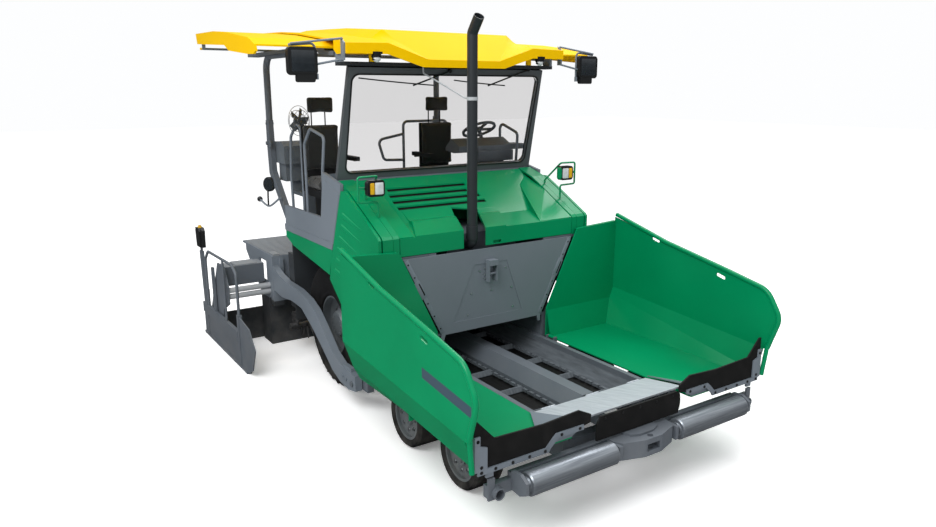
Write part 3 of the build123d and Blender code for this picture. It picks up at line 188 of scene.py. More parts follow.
# %% Dust group
dust, start, end = node_group(
    "road dust",
    [("Color", COLOR, (0.5, 0.5, 0.5, 1)), ("Dust Color", COLOR, (0.36, 0.33, 0.29, 1)),
     ("Amount", FLOAT, 0.3), ("Clean Above", FLOAT, 1.2)],
    [("Color", COLOR), ("Mask", FLOAT)])
place = own_place(dust)
height = add(dust, "ShaderNodeSeparateXYZ", Vector=place).outputs["Z"]
low = stretch(dust, height, (0.0, start.outputs["Clean Above"]), (1.0, 0.0))
patch = add(dust, "ShaderNodeTexNoise", Vector=place, Scale=5.0, Detail=8.0, Roughness=0.65)
patchy = maths(dust, "MULTIPLY", low, stretch(dust, patch.outputs["Fac"], (0.38, 0.72)))
mask = maths(dust, "MULTIPLY", patchy, start.outputs["Amount"], clamp=True)
feed(dust, end, Color=blend(dust, mask, start.outputs["Color"], start.outputs["Dust Color"]), Mask=mask)
print("group", dust.name)

# %% [markdown]
# Steel that hot mix slides over is rubbed bright in long streaks. A noise squeezed along one direction
# makes the streaks; the same streaks dent the surface slightly.

# %% Rubbed steel group
rubbed, start, end = node_group(
    "rubbed steel",
    [("Color", COLOR, (0.3, 0.3, 0.3, 1)), ("Bright Color", COLOR, (0.5, 0.5, 0.5, 1)),
     ("Streaks", VECTOR, (2.0, 60.0, 60.0)), ("Depth", FLOAT, 0.1)],
    [("Color", COLOR), ("Mask", FLOAT), ("Normal", VECTOR)])
squeeze = add(rubbed, "ShaderNodeMapping", Vector=own_place(rubbed), Scale=start.outputs["Streaks"])
streak = add(rubbed, "ShaderNodeTexNoise", Vector=squeeze.outputs["Vector"], Scale=1.0, Detail=5.0,
             Roughness=0.6)
mask = stretch(rubbed, streak.outputs["Fac"], (0.3, 0.75))
bump = add(rubbed, "ShaderNodeBump", Strength=start.outputs["Depth"], Distance=0.001,
           Height=streak.outputs["Fac"])
feed(rubbed, end, Color=blend(rubbed, mask, start.outputs["Color"], start.outputs["Bright Color"]),
     Mask=mask, Normal=bump.outputs["Normal"])
print("group", rubbed.name)

# %% [markdown]
# Rubber and moulded plastic have a pebbled skin and a grey bloom where they have been brushed.

# %% Pebbled skin group
skin, start, end = node_group(
    "pebbled skin",
    [("Color", COLOR, (0.02, 0.02, 0.02, 1)), ("Bloom Color", COLOR, (0.06, 0.06, 0.06, 1)),
     ("Grain", FLOAT, 400.0), ("Depth", FLOAT, 0.3)],
    [("Color", COLOR), ("Mask", FLOAT), ("Normal", VECTOR)])
place = own_place(skin)
bloom = add(skin, "ShaderNodeTexNoise", Vector=place, Scale=7.0, Detail=6.0, Roughness=0.7)
mask = stretch(skin, bloom.outputs["Fac"], (0.45, 0.75))
pebble = add(skin, "ShaderNodeTexVoronoi", Vector=place, Scale=start.outputs["Grain"])
bump = add(skin, "ShaderNodeBump", Strength=start.outputs["Depth"], Distance=0.001,
           Height=pebble.outputs["Distance"])
feed(skin, end, Color=blend(skin, mask, start.outputs["Color"], start.outputs["Bloom Color"]),
     Mask=mask, Normal=bump.outputs["Normal"])
print("group", skin.name)

# %% [markdown]
# Several parts carry two colours: a stripe on the hopper, a black lamp in a green guard, a dark beam under
# a yellow roof. Cutting the solids up would do it too, but a mask leaves them whole. It picks out a box,
# given in the fitter's measures, or all that lies past a plane.

# %% Masks that pick out a region
def inside(tree, low, high, lean=0.0):
    """A mask that is 1 inside a box, on both sides of the machine. A lean tips the box's top with X."""
    place = add(tree, "ShaderNodeSeparateXYZ", Vector=own_place(tree))
    half_length = (high[0] - low[0]) / 2
    ahead = maths(tree, "SUBTRACT", place.outputs["X"], AXLE_X + (low[0] + high[0]) / 2)
    to_side = maths(tree, "ABSOLUTE", place.outputs["Y"])
    level = maths(tree, "MULTIPLY_ADD", ahead, -lean, place.outputs["Z"])
    spans = ((ahead, -half_length, half_length), (to_side, low[1], high[1]), (level, low[2], high[2]))
    within = []
    for value, near, far in spans:
        off_middle = maths(tree, "ABSOLUTE", maths(tree, "SUBTRACT", value, (near + far) / 2))
        within.append(maths(tree, "LESS_THAN", off_middle, (far - near) / 2))
    return maths(tree, "MULTIPLY", maths(tree, "MULTIPLY", within[0], within[1]), within[2])


def beyond(tree, point, normal):
    """A mask that is 1 on the far side of a plane."""
    away = add(tree, "ShaderNodeVectorMath", {"operation": "SUBTRACT"}, i0=own_place(tree), i1=point)
    height = add(tree, "ShaderNodeVectorMath", {"operation": "DOT_PRODUCT"}, i0=away.outputs[0], i1=normal)
    return maths(tree, "GREATER_THAN", height.outputs["Value"], 0.0)


print("masks ready")

# %% [markdown]
# Every painted finish is the same recipe: paint group, then the regions of another colour, then dust
# group, then a glossy shader. A function holds the recipe so that a new colour is one line.

# %% Recipe for a painted finish
def new_material(name):
    """A material with a Principled shader and its node tree."""
    material = bpy.data.materials.new(name)
    material.use_nodes = True
    return material, material.node_tree, material.node_tree.nodes["Principled BSDF"]


def grouped(tree, group, **inputs):
    """Places a shader node group and fills its sockets."""
    node = tree.nodes.new("ShaderNodeGroup")
    node.node_tree = group
    return feed(tree, node, **inputs)


def painted(name, color, deep, gloss=0.3, coat=0.0, specular=0.5, dusty=0.3, patches=(), lean=0.0, lip=None):
    """Sprayed enamel with a little dust low down. A patch is a box of another colour, a lip all that lies
    past a plane."""
    material, tree, shader = new_material(name)
    enamel = grouped(tree, paint, Color=(*color, 1), Deep_Color=(*deep, 1), Cloud_Size=0.7, Ripple=0.06)
    top_coat = enamel.outputs["Color"]
    for low, high, patch_color in patches:
        top_coat = blend(tree, inside(tree, low, high, lean), top_coat, (*patch_color, 1))
    if lip:
        point, normal, lip_color = lip
        top_coat = blend(tree, beyond(tree, point, normal), top_coat, (*lip_color, 1))
    dusted = grouped(tree, dust, Color=top_coat, Amount=dusty, Clean_Above=1.0)
    feed(tree, shader, Base_Color=dusted.outputs["Color"], Normal=enamel.outputs["Normal"],
         Roughness=stretch(tree, dusted.outputs["Mask"], onto=(gloss, 0.8)),
         Specular_IOR_Level=specular, Coat_Weight=coat, Coat_Roughness=0.12)
    return material


print("paint recipe ready")

# %% [markdown]
# The machine wears few colours, so each has a name, as red, green and blue between 0 and 1. A paint that
# covers large panels has a deeper partner for the cloud to fade into.

# %% Palette
GREEN, GREEN_DEEP = (0.0, 0.275, 0.106), (0.0, 0.240, 0.092)
YELLOW, YELLOW_DEEP = (0.86, 0.52, 0.0), (0.83, 0.49, 0.0)
LIGHT, LIGHT_DEEP = (0.19, 0.222, 0.26), (0.165, 0.195, 0.23)
MID, MID_DEEP = (0.125, 0.144, 0.168), (0.108, 0.125, 0.147)
WALL, WALL_DEEP = (0.175, 0.202, 0.235), (0.158, 0.183, 0.213)
SCREEN, SCREEN_DEEP = (0.090, 0.100, 0.110), (0.078, 0.087, 0.096)
WHEEL, WHEEL_DEEP = (0.13, 0.15, 0.165), (0.10, 0.115, 0.125)
EXHAUST, EXHAUST_DEEP = (0.024, 0.029, 0.034), (0.020, 0.024, 0.028)
BLACK, BLACK_DEEP = (0.012, 0.013, 0.014), (0.009, 0.010, 0.011)
STRIPE_BLUE = (0.055, 0.085, 0.115)
DARK = (0.035, 0.040, 0.045)
BRIGHT = (0.42, 0.44, 0.46)
TREAD = (0.25, 0.27, 0.29)
print("green enamel", GREEN, "over", GREEN_DEEP)

# %% Finishes of one colour
green = painted("green enamel", GREEN, GREEN_DEEP, gloss=0.28, coat=0.08, specular=0.22, dusty=0.0)
light_grey = painted("light grey enamel", LIGHT, LIGHT_DEEP, gloss=0.38, dusty=0.1)
mid_grey = painted("machine grey enamel", MID, MID_DEEP, gloss=0.42, dusty=0.15)
wall_grey = painted("bulkhead grey enamel", WALL, WALL_DEEP, gloss=0.38, dusty=0.05)
satin_black = painted("satin black enamel", BLACK, BLACK_DEEP, gloss=0.42, dusty=0.1)
wheel_grey = painted("wheel grey enamel", WHEEL, WHEEL_DEEP, gloss=0.42, dusty=0.3)
print("finishes so far", len(bpy.data.materials))

# %% [markdown]
# For the two-coloured parts, each box is named for what it covers. Its corners are in metres: ahead of the
# rear axle, out to either side, and above the ground. Where it can, a box ends in the air between two
# features, so that no edge of colour crosses a face by accident.

# %% Hopper, roof and awning finishes
STRIPE_FALL = 0.112
stripe = ((2.835, 1.640, 1.1155), (3.477, 1.660, 1.1965), STRIPE_BLUE)
roof_beam = ((0.630, 0.000, 3.390), (0.928, 1.270, 3.4365), DARK)
roof_feet = ((0.630, 1.215, 3.430), (0.770, 1.255, 3.610), LIGHT)
roof_lamps = ((0.850, 0.910, 3.430), (0.950, 1.010, 3.521), BLACK)
rear_rail = ((-1.320, 0.860, 3.590), (-1.280, 1.949, 3.750), LIGHT)
front_rail = ((0.364, 0.860, 3.590), (0.396, 1.949, 3.6215), LIGHT)
wing_green = painted("green enamel with stripe", GREEN, GREEN_DEEP, gloss=0.28, coat=0.08, specular=0.22,
                     dusty=0.0, patches=(stripe,), lean=-STRIPE_FALL)
roof_yellow = painted("yellow roof", YELLOW, YELLOW_DEEP, gloss=0.45, specular=0.04, dusty=0.0,
                      patches=(roof_beam, roof_feet, roof_lamps))
awning_yellow = painted("yellow awning", YELLOW, YELLOW_DEEP, gloss=0.45, specular=0.04, dusty=0.0,
                        patches=(rear_rail, front_rail))
print("the stripe falls", STRIPE_FALL, "m in each metre ahead")

# %% Windscreen frame finish
SCREEN_LEAN = math.radians(14.1)
screen_foot = from_axle(0.4475, 0.0, 2.310)
out_of_screen = Vector((math.cos(SCREEN_LEAN), 0, -math.sin(SCREEN_LEAN)))
screen_grey = painted("screen grey enamel", SCREEN, SCREEN_DEEP, gloss=0.38, dusty=0.0,
                      lip=(screen_foot, out_of_screen, BLACK))
print("screen leans", round(math.degrees(SCREEN_LEAN), 1), "degrees")

# %% Chassis, exhaust, lamp and mirror finishes
# This box is painted shade: the chassis round the rear tyre's arch is painted dark, where the arch lies in
# shade.
wheel_arch_shade = ((-1.300, 0.600, 0.300), (0.487, 1.200, 1.550), DARK)
exhaust_stay = ((0.700, 0.100, 3.050), (1.285, 0.450, 3.420), BRIGHT)
exhaust_clamp = ((1.240, 0.100, 3.084), (1.440, 0.300, 3.116), BRIGHT)
lamp_box = ((1.080, 1.0605, 2.2320), (1.200, 1.2390, 2.3845), BLACK)
mirror_shell = ((0.8345, 1.5295, 3.2350), (0.905, 1.805, 3.5460), BLACK)
chassis_grey = painted("chassis grey", MID, MID_DEEP, gloss=0.42, dusty=0.15, patches=(wheel_arch_shade,))
exhaust_paint = painted("exhaust black", EXHAUST, EXHAUST_DEEP, gloss=0.45, dusty=0.0,
                        patches=(exhaust_stay, exhaust_clamp))
lamp_paint = painted("headlamp black and green", GREEN, GREEN_DEEP, gloss=0.32, coat=0.2, dusty=0.0,
                     patches=(lamp_box,))
mirror_paint = painted("mirror black and grey", LIGHT, LIGHT_DEEP, gloss=0.40, dusty=0.0,
                       patches=(mirror_shell,))
print("finishes so far", len(bpy.data.materials))

# %% Screed finishes
walkway = ((-2.700, 0.000, 1.1935), (-1.400, 1.300, 1.230), TREAD)
screed_foot = ((-2.050, 0.000, -0.010), (-1.420, 1.300, 0.620), DARK)
slide_tubes = ((-1.650, 0.000, 0.680), (-1.570, 1.784, 0.840), BRIGHT)
extension_foot = ((-2.450, 0.000, -0.010), (-1.990, 1.784, 0.430), DARK)
cover_tread = ((-1.960, 0.000, 1.0695), (-1.690, 1.784, 1.090), TREAD)
control_box = ((-2.800, 1.700, 1.185), (-2.300, 1.950, 1.500), BLACK)
screed_paint = painted("screed grey", LIGHT, LIGHT_DEEP, gloss=0.45, dusty=0.2,
                       patches=(walkway, screed_foot))
extension_paint = painted("screed extension grey", MID, MID_DEEP, gloss=0.45, dusty=0.2,
                          patches=(slide_tubes, extension_foot, cover_tread))
gate_paint = painted("end gate grey", MID, MID_DEEP, gloss=0.42, dusty=0.2, patches=(control_box,))
print("finishes so far", len(bpy.data.materials))

# %% [markdown]
# Bare steel is not one thing: a plate that mix slides over is dull and streaked, a roller is streaked round
# its girth, and plated nuts are bright. The streak count along each direction tells them apart.

# %% Bare metal finishes
def bare_metal(name, color, bright, streaks, roughness=(0.5, 0.25), depth=0.15, metallic=0.9):
    """Steel rubbed bright in streaks."""
    material, tree, shader = new_material(name)
    steel = grouped(tree, rubbed, Color=(*color, 1), Bright_Color=(*bright, 1), Streaks=streaks, Depth=depth)
    feed(tree, shader, Base_Color=steel.outputs["Color"], Normal=steel.outputs["Normal"],
         Roughness=stretch(tree, steel.outputs["Mask"], onto=roughness), Metallic=metallic)
    return material


worn_plate = bare_metal("rubbed plate steel", (0.38, 0.42, 0.46), (0.56, 0.60, 0.64), (3.0, 40.0, 3.0),
                        (0.6, 0.4), metallic=0.2)
roller_steel = bare_metal("roller steel", (0.20, 0.22, 0.25), (0.40, 0.44, 0.48), (60.0, 2.0, 60.0),
                          metallic=0.7)
auger_steel = bare_metal("auger steel", (0.10, 0.10, 0.10), (0.28, 0.28, 0.28), (20.0, 20.0, 20.0),
                         metallic=0.8)
zinc = bare_metal("zinc plate", (0.55, 0.56, 0.58), (0.75, 0.76, 0.78), (30.0, 30.0, 30.0),
                  (0.35, 0.2), 0.05, 1.0)
print("finishes so far", len(bpy.data.materials))

# %% [markdown]
# Tyres, flaps and covers are black but never the same black: belt rubber is dull, a tyre holds dust, and
# moulded plastic has a faint sheen. One recipe serves, with its own grain and roughness each time.

# %% Rubber and plastic finishes
def pebbled(name, color, bloom_color, roughness=(0.75, 0.9), grain=400.0, depth=0.2, dusty=0.0):
    """Rubber or moulded plastic."""
    material, tree, shader = new_material(name)
    surface = grouped(tree, skin, Color=(*color, 1), Bloom_Color=(*bloom_color, 1), Grain=grain, Depth=depth)
    dusted = grouped(tree, dust, Color=surface.outputs["Color"], Amount=dusty, Clean_Above=1.0)
    feed(tree, shader, Base_Color=dusted.outputs["Color"], Normal=surface.outputs["Normal"],
         Roughness=stretch(tree, surface.outputs["Mask"], onto=roughness), Specular_IOR_Level=0.3)
    return material


belt_rubber = pebbled("belt rubber", (0.007, 0.007, 0.007), (0.014, 0.013, 0.013))
tyre_rubber = pebbled("tyre rubber", (0.006, 0.006, 0.007), (0.013, 0.013, 0.013), (0.65, 0.85), 300.0,
                      0.15, 0.2)
black_plastic = pebbled("black moulded plastic", (0.010, 0.010, 0.011), (0.016, 0.016, 0.017),
                        (0.45, 0.55), 900.0, 0.15)
grey_plastic = pebbled("grey moulded plastic", (0.12, 0.14, 0.16), (0.15, 0.17, 0.19), (0.45, 0.55), 900.0,
                       0.15)
print("finishes so far", len(bpy.data.materials))

# %% [markdown]
# A sheet of laminated glass hardly bends the view behind it. A low index of refraction does that here and
# keeps reflections faint, where the true index would lay a bright room over the whole pane.

# %% Glass finish
glass, tree, shader = new_material("laminated glass")
tint = grouped(tree, paint, Color=(0.70, 0.69, 0.69, 1), Deep_Color=(0.68, 0.67, 0.67, 1), Cloud_Size=1.5,
               Ripple=0.0)
feed(tree, shader, Base_Color=tint.outputs["Color"], Roughness=0.03, IOR=1.08, Transmission_Weight=1.0)
print("finish", glass.name)

# %% [markdown]
# The conveyor is one solid: a dark floor with brighter chains and slats standing on it. A mask by height
# splits the two, which is simpler than cutting the solid up.

# %% Conveyor finish
FLOOR_ENDS_Z, CHAINS_BEGIN_Z = 0.452, 0.460
conveyor_steel, tree, shader = new_material("conveyor steel")
height = add(tree, "ShaderNodeSeparateXYZ", Vector=own_place(tree)).outputs["Z"]
raised = stretch(tree, height, (FLOOR_ENDS_Z, CHAINS_BEGIN_Z))
steel = grouped(tree, rubbed, Color=(0.07, 0.08, 0.09, 1), Bright_Color=(0.14, 0.16, 0.18, 1),
                Streaks=(4.0, 40.0, 4.0), Depth=0.2)
feed(tree, shader, Base_Color=blend(tree, raised, (0.003, 0.003, 0.003, 1), steel.outputs["Color"]),
     Normal=steel.outputs["Normal"], Roughness=stretch(tree, steel.outputs["Mask"], onto=(0.6, 0.4)),
     Specular_IOR_Level=0.2)
print("finish", conveyor_steel.name)

# %% [markdown]
# Parts that come in families, such as the wheels and the left and right wings, share a finish. The table
# names a family once, and each part takes the longest family name that its own name starts with.

# %% Give each CAD part its finish
finishes = {
    "apron": worn_plate, "apron_flap": belt_rubber, "auger": auger_steel, "awning": awning_yellow,
    "bulkhead": wall_grey, "canopy_posts": mid_grey, "canopy_roof": roof_yellow, "chassis": chassis_grey,
    "consoles": grey_plastic, "conveyor": conveyor_steel, "conveyor_cover": mid_grey,
    "end_gate": gate_paint, "engine_block": mid_grey, "exhaust": exhaust_paint, "front_axle": mid_grey,
    "front_rim": wheel_grey, "front_tyre": tyre_rubber, "handrails": light_grey, "hood_body": green,
    "hood_lid": green, "hopper_wing": wing_green, "knuckle": mid_grey, "mirrors": mirror_paint,
    "platform": light_grey, "push_beam": mid_grey, "push_roller": roller_steel, "rear_rim": wheel_grey,
    "rear_tyre": tyre_rubber, "screed_extension": extension_paint, "screed_frame": screed_paint,
    "seat_bases": satin_black, "seats": black_plastic, "side_door": green, "tow_arms": light_grey,
    "windscreen_frame": screen_grey, "windscreen_glass": glass, "wing_flap": belt_rubber,
    "wing_rail": light_grey, "work_lamps": lamp_paint,
}
for name, part in nodes.items():
    family = max((key for key in finishes if name == key or name.startswith(key + "_")), key=len)
    part.data.materials.clear()
    part.data.materials.append(finishes[family])
print("finished parts", len(nodes))

# %% [markdown]
# ## Fittings
# Everything below is small: bolts, lenses, wipers, cushions, tread. A bolt or a lens faces away from what it
# sits on, so one helper turns a place and a direction into a matrix.

# %% Standing shapes up
def facing(place, normal):
    """A matrix that stands a shape's Z along a normal at a place."""
    return Matrix.Translation(place) @ Vector(normal).to_track_quat("Z", "Y").to_matrix().to_4x4()


print("shapes can be stood up")

# %% [markdown]
# A bmesh is a sketchpad for a mesh: shapes are added to it with operators, then it is poured into an
# object. One helper does the pouring, so that each piece gets a material, a body to ride on and soft
# shading that still keeps its sharp edges.

# %% Pouring a shape into a piece
def finished(name, shape, material, body, sharp=35):
    """Makes an object from a bmesh and lets it ride on a body."""
    mesh = bpy.data.meshes.new(name)
    shape.to_mesh(mesh)
    shape.free()
    mesh.materials.append(material)
    mesh.shade_smooth()
    mesh.set_sharp_from_angle(angle=math.radians(sharp))
    thing = bpy.data.objects.new(name, mesh)
    bpy.context.scene.collection.objects.link(thing)
    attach(thing, body)
    return thing


print("shapes can be poured")

# %% [markdown]
# Nearly every fitting is a block or a disc. Real ones have no razor edges, and a small bevel catches a
# line of light, so the block is bevelled as it is made. Nuts and screws come many to a mesh, since those on
# one face never move apart.

# %% Blocks, discs and bolts
def add_block(shape, low, high, edge=0.003, place=Matrix()):
    """A block with rounded edges between two corners."""
    size = Vector(high) - Vector(low)
    middle = (Vector(high) + Vector(low)) / 2
    stand = place @ Matrix.Translation(middle) @ Matrix.Diagonal((*size, 1))
    made = bmesh.ops.create_cube(shape, size=1.0, matrix=stand)
    edges = list(dict.fromkeys(line for corner in made["verts"] for line in corner.link_edges))
    bmesh.ops.bevel(shape, geom=edges, offset=edge, offset_type="OFFSET", affect="EDGES", segments=2,
                    profile=0.5, material=-1)


def add_disc(shape, place, normal, radius, height, sides=24, taper=1.0):
    """A short round bar that stands on a place along a normal."""
    stand = facing(place, normal) @ Matrix.Translation((0, 0, height / 2))
    bmesh.ops.create_cone(shape, cap_ends=True, segments=sides, radius1=radius, radius2=radius * taper,
                          depth=height, matrix=stand)


def bolts(name, places, normal, radius, material, body):
    """Washers with hexagon heads, all facing one way."""
    shape = bmesh.new()
    for place in places:
        add_disc(shape, place, normal, radius * 1.6, radius * 0.3, 16)
        add_disc(shape, place, normal, radius, radius, 6, 0.96)
    return finished(name, shape, material, body, 25)


print("blocks, discs and bolts ready")

# %% Whole pieces made of one block or one disc
def slab(name, edge, x, y, z, rounding, material, body):
    """A rounded slab on one side of the machine. Each of x, y and z is a span in the fitter's measures."""
    y_low, y_high = sorted(edge * distance for distance in y)
    shape = bmesh.new()
    add_block(shape, from_axle(x[0], y_low, z[0]), from_axle(x[1], y_high, z[1]), rounding)
    return finished(name, shape, material, body)


def disc(name, place, normal, radius, height, material, body, sides=24, taper=1.0):
    """One disc as a piece."""
    shape = bmesh.new()
    add_disc(shape, place, normal, radius, height, sides, taper)
    return finished(name, shape, material, body)


print("slabs and discs ready")

# %% [markdown]
# A pipe or rod is quickest as a curve with a round bevel. The curve is turned into a mesh at once, since
# a mesh keeps its place when it rides on a body and is easy to count.

# %% Rods from curves
def rod(name, points, radius, material, body, closed=False):
    """A smooth round rod through points."""
    curve = bpy.data.curves.new(name, "CURVE")
    curve.dimensions = "3D"
    curve.bevel_depth = radius
    curve.bevel_resolution = 3
    curve.use_fill_caps = True
    spline = curve.splines.new("NURBS")
    spline.points.add(len(points) - 1)
    for control, point in zip(spline.points, points):
        control.co = (*point, 1)
    spline.order_u = 3
    spline.use_endpoint_u = not closed
    spline.use_cyclic_u = closed
    draft = bpy.data.objects.new(name, curve)
    mesh = bpy.data.meshes.new_from_object(draft)
    bpy.data.objects.remove(draft)
    shape = bmesh.new()
    shape.from_mesh(mesh)
    bmesh.ops.remove_doubles(shape, verts=shape.verts, dist=0.00001)
    bmesh.ops.recalc_face_normals(shape, faces=shape.faces)
    return finished(name, shape, material, body)


print("rods ready")

# %% [markdown]
# ## Finishes for small fittings
# Lamp lenses, amber indicators and mirror glass each need one finish of their own. The lens has fine
# ribs pressed into it, drawn here as a bump wave rather than as geometry.

# %% Lens, amber and mirror finishes
def lens_finish(name, color, ribs, roughness):
    """Pressed lens: ribs as bump over a coloured, glossy body."""
    material, tree, shader = new_material(name)
    deep = [value * 0.75 for value in color]
    body_color = grouped(tree, paint, Color=(*color, 1), Deep_Color=(*deep, 1), Cloud_Size=0.05, Ripple=0.0)
    wave = add(tree, "ShaderNodeTexWave", {"wave_type": "BANDS", "bands_direction": "Y"},
               Vector=own_place(tree), Scale=ribs)
    bump = add(tree, "ShaderNodeBump", Strength=0.5, Distance=0.002, Height=wave.outputs["Fac"])
    cloudy = stretch(tree, body_color.outputs["Mask"], onto=(roughness, roughness + 0.1))
    feed(tree, shader, Base_Color=body_color.outputs["Color"], Normal=bump.outputs["Normal"],
         Roughness=cloudy, Coat_Weight=0.8)
    return material


clear_lens = lens_finish("clear lens", (0.75, 0.78, 0.80), 30.0, 0.12)
amber_lens = lens_finish("amber lens", (0.90, 0.50, 0.01), 40.0, 0.15)
dark_glass = lens_finish("dark glass", (0.02, 0.025, 0.03), 0.5, 0.04)
knob_yellow = painted("knob yellow", (0.85, 0.50, 0.01), (0.75, 0.42, 0.01), gloss=0.35, dusty=0.0)
print("finishes so far", len(bpy.data.materials))

# %% [markdown]
# ## Under the hood's louvres
# Seen through the louvres, the engine bay lies in shade. That shade is painted: a thin black sheet hangs
# under the sheet metal. The sheet is one thin slab, laid to the slope of the lid, and it lifts with the lid.
# It is
# measured from its upper edge: down the slope, across the machine, and through its thickness.

# %% Black sheet of painted shade under the lid
LID_REAR_X, LID_REAR_Z = 0.490, 2.300
LID_DROP, LID_RUN = 0.365, 0.600
SHEET_REAR_X, SHEET_BELOW_LID = 0.600, 0.030
slope = math.atan2(LID_DROP, LID_RUN)
sheet_z = LID_REAR_Z - (SHEET_REAR_X - LID_REAR_X) * LID_DROP / LID_RUN - SHEET_BELOW_LID
sheet_lay = Matrix.Translation(from_axle(SHEET_REAR_X, 0, sheet_z)) @ Matrix.Rotation(slope, 4, "Y")
shape = bmesh.new()
add_block(shape, (0.0, -0.810, -0.010), (0.395, 0.300, 0.0), 0.003, sheet_lay)
# This black slab is painted shade, seen through the louvres.
finished("louvre_shade_sheet", shape, belt_rubber, "hood_lid")
print("shade sheet laid at", round(math.degrees(slope), 1), "degrees")

# %% [markdown]
# ## Bulkhead
# The steel wall behind the hopper has a hatch and a latch held by screws. The wings swing past this wall
# with 6 mm to spare, so the heads stay small.

# %% Hatch and latch screws
WALL_FACE_X, SCREW_R = 1.432, 0.0055
hatch_screws = [(-0.168, 1.451), (0.149, 1.447), (-0.267, 1.237), (0.224, 1.235), (-0.023, 1.238),
                (-0.309, 1.027), (0.243, 1.026)]
latch_screws = [(y, z) for y in (-0.108, 0.020) for z in (1.37, 1.41, 1.47)]
for name, places in (("hatch_screws", hatch_screws), ("latch_screws", latch_screws)):
    bolts(name, [from_axle(WALL_FACE_X, y, z) for y, z in places], FORWARD, SCREW_R, zinc, root)
print("screws", len(hatch_screws) + len(latch_screws))

# %% [markdown]
# Down each slanted edge of the wall runs a clamp strip with bolts, and behind it the sealing rubber that
# it holds. The strip stays flat for the same reason as the screws. Its own axes are its thickness, its
# width and its length, so each box below reads as thick, wide, long.

# %% Clamp strips and their rubber
STRIP_X = 1.4325
# Where the strip starts and ends: distance to the side and height.
strip_foot, strip_head = (0.600, 0.900), (0.985, 1.655)
# Where its bolts sit, as shares of its length.
bolt_shares = (0.06, 0.24, 0.42, 0.78, 0.95)
for side, edge in SIDES.items():
    foot = from_axle(STRIP_X, edge * strip_foot[0], strip_foot[1])
    along = from_axle(STRIP_X, edge * strip_head[0], strip_head[1]) - foot
    upward = along.normalized()
    lay = Matrix.Translation(foot) @ Matrix((FORWARD, upward.cross(FORWARD), upward)).transposed().to_4x4()
    shape = bmesh.new()
    add_block(shape, (-0.002, -0.022, 0.0), (0.003, 0.022, along.length), 0.0015, lay)
    plate_low, plate_high = along.length * 0.50, along.length * 0.72
    add_block(shape, (-0.002, -0.034, plate_low), (0.0045, 0.030, plate_high), 0.0015, lay)
    finished(f"clamp_strip_{side}", shape, light_grey, root)
    # A thin black block on the wider plate is painted shade: it stands for the dark inside of a slot.
    shape = bmesh.new()
    add_block(shape, (0.0030, 0.004, along.length * 0.53), (0.0052, 0.018, along.length * 0.69), 0.001, lay)
    finished(f"clamp_slot_shade_{side}", shape, black_plastic, root)
    shape = bmesh.new()
    for share in bolt_shares:
        add_disc(shape, foot + along * share + FORWARD * 0.003, FORWARD, 0.009, 0.0022, 16, 0.8)
    finished(f"clamp_bolts_{side}", shape, satin_black, root)
    shape = bmesh.new()
    inner, outer = sorted((edge * 0.005, edge * 0.062))
    add_block(shape, (-0.030, inner, 0.02), (-0.012, outer, along.length - 0.02), 0.003, lay)
    finished(f"wall_seal_{side}", shape, belt_rubber, root)
print("bulkhead dressed")

# %% [markdown]
# ## Hopper
# A row of bolts clamps the rubber flap to each wing's steel rail, and the apron carries its own centre
# flap the same way.

# %% Bolts on the hopper's front edge
RAIL_FACE_X, FLAP_FACE_X, FLAP_BOLTS_Z, BOLT_R = 3.4183, 3.4353, 0.735, 0.008
rail_bolts = [(0.62, 0.71), (0.80, 0.71), (0.955, 0.62), (1.10, 0.62), (1.25, 0.62), (1.40, 0.62),
              (1.52, 0.62), (1.55, 0.86), (1.52, 0.66)]
flap_bolts = [(y, FLAP_BOLTS_Z) for y in (-0.38, -0.19, 0.0, 0.19, 0.38)]
for side, edge in SIDES.items():
    places = [from_axle(RAIL_FACE_X, edge * y, z) for y, z in rail_bolts]
    bolts(f"rail_bolts_{side}", places, FORWARD, BOLT_R, satin_black, f"hopper_wing_{side}")
places = [from_axle(FLAP_FACE_X, y, z) for y, z in flap_bolts]
bolts("flap_bolts", places, FORWARD, BOLT_R, satin_black, "apron")
print("bolts", 2 * len(rail_bolts) + len(flap_bolts))

# %% [markdown]
# Each wing swings on two pins, and the notches round them would let asphalt fall through. A strip of belt
# under each row of hinges closes them, fixed to the machine, low enough for the hinges to turn above it.

# %% Strips under the hinges
for side, edge in SIDES.items():
    slab(f"hinge_strip_{side}", edge, (1.470, 2.880), (0.636, 0.716), (0.588, 0.594), 0.002, belt_rubber,
         root)
print("hinge strips", len(SIDES))

# %% [markdown]
# ## Wheels
# The rear tyre is a road tyre with blocks. Its carcass is one profile spun round the axle; the blocks are
# small bevelled cubes set round it in four staggered rows. Spinning leaves a seam where the last slice
# meets the first, so the doubles are merged before the normals are recalculated.

# %% Sizes of the rear tyre
TYRE_R, TYRE_Y = 0.683, 0.957
BLOCKS_ROUND, BLOCK_SEAT_R, SHOULDER = 30, 0.6735, 0.1
BLOCK_TWIST, SHOULDER_DROOP, SLICES = math.radians(12), math.radians(8), 96
# Half of the section, as radius and distance from the tyre's middle, from the bead to the tread.
half_section = [(0.320, -0.150), (0.330, -0.168), (0.352, -0.176), (0.378, -0.176), (0.392, -0.183),
                (0.470, -0.1915), (0.560, -0.1900), (0.600, -0.184), (0.640, -0.170), (0.662, -0.150),
                (0.669, -0.110), (0.671, -0.05), (0.671, 0.0)]
# Each row of blocks is shifted round by a share of a block and stands off the tyre's middle.
block_rows = ((0, -0.118), (0.5, -0.040), (0, 0.040), (0.5, 0.118))
print("blocks on each tyre", BLOCKS_ROUND * len(block_rows))

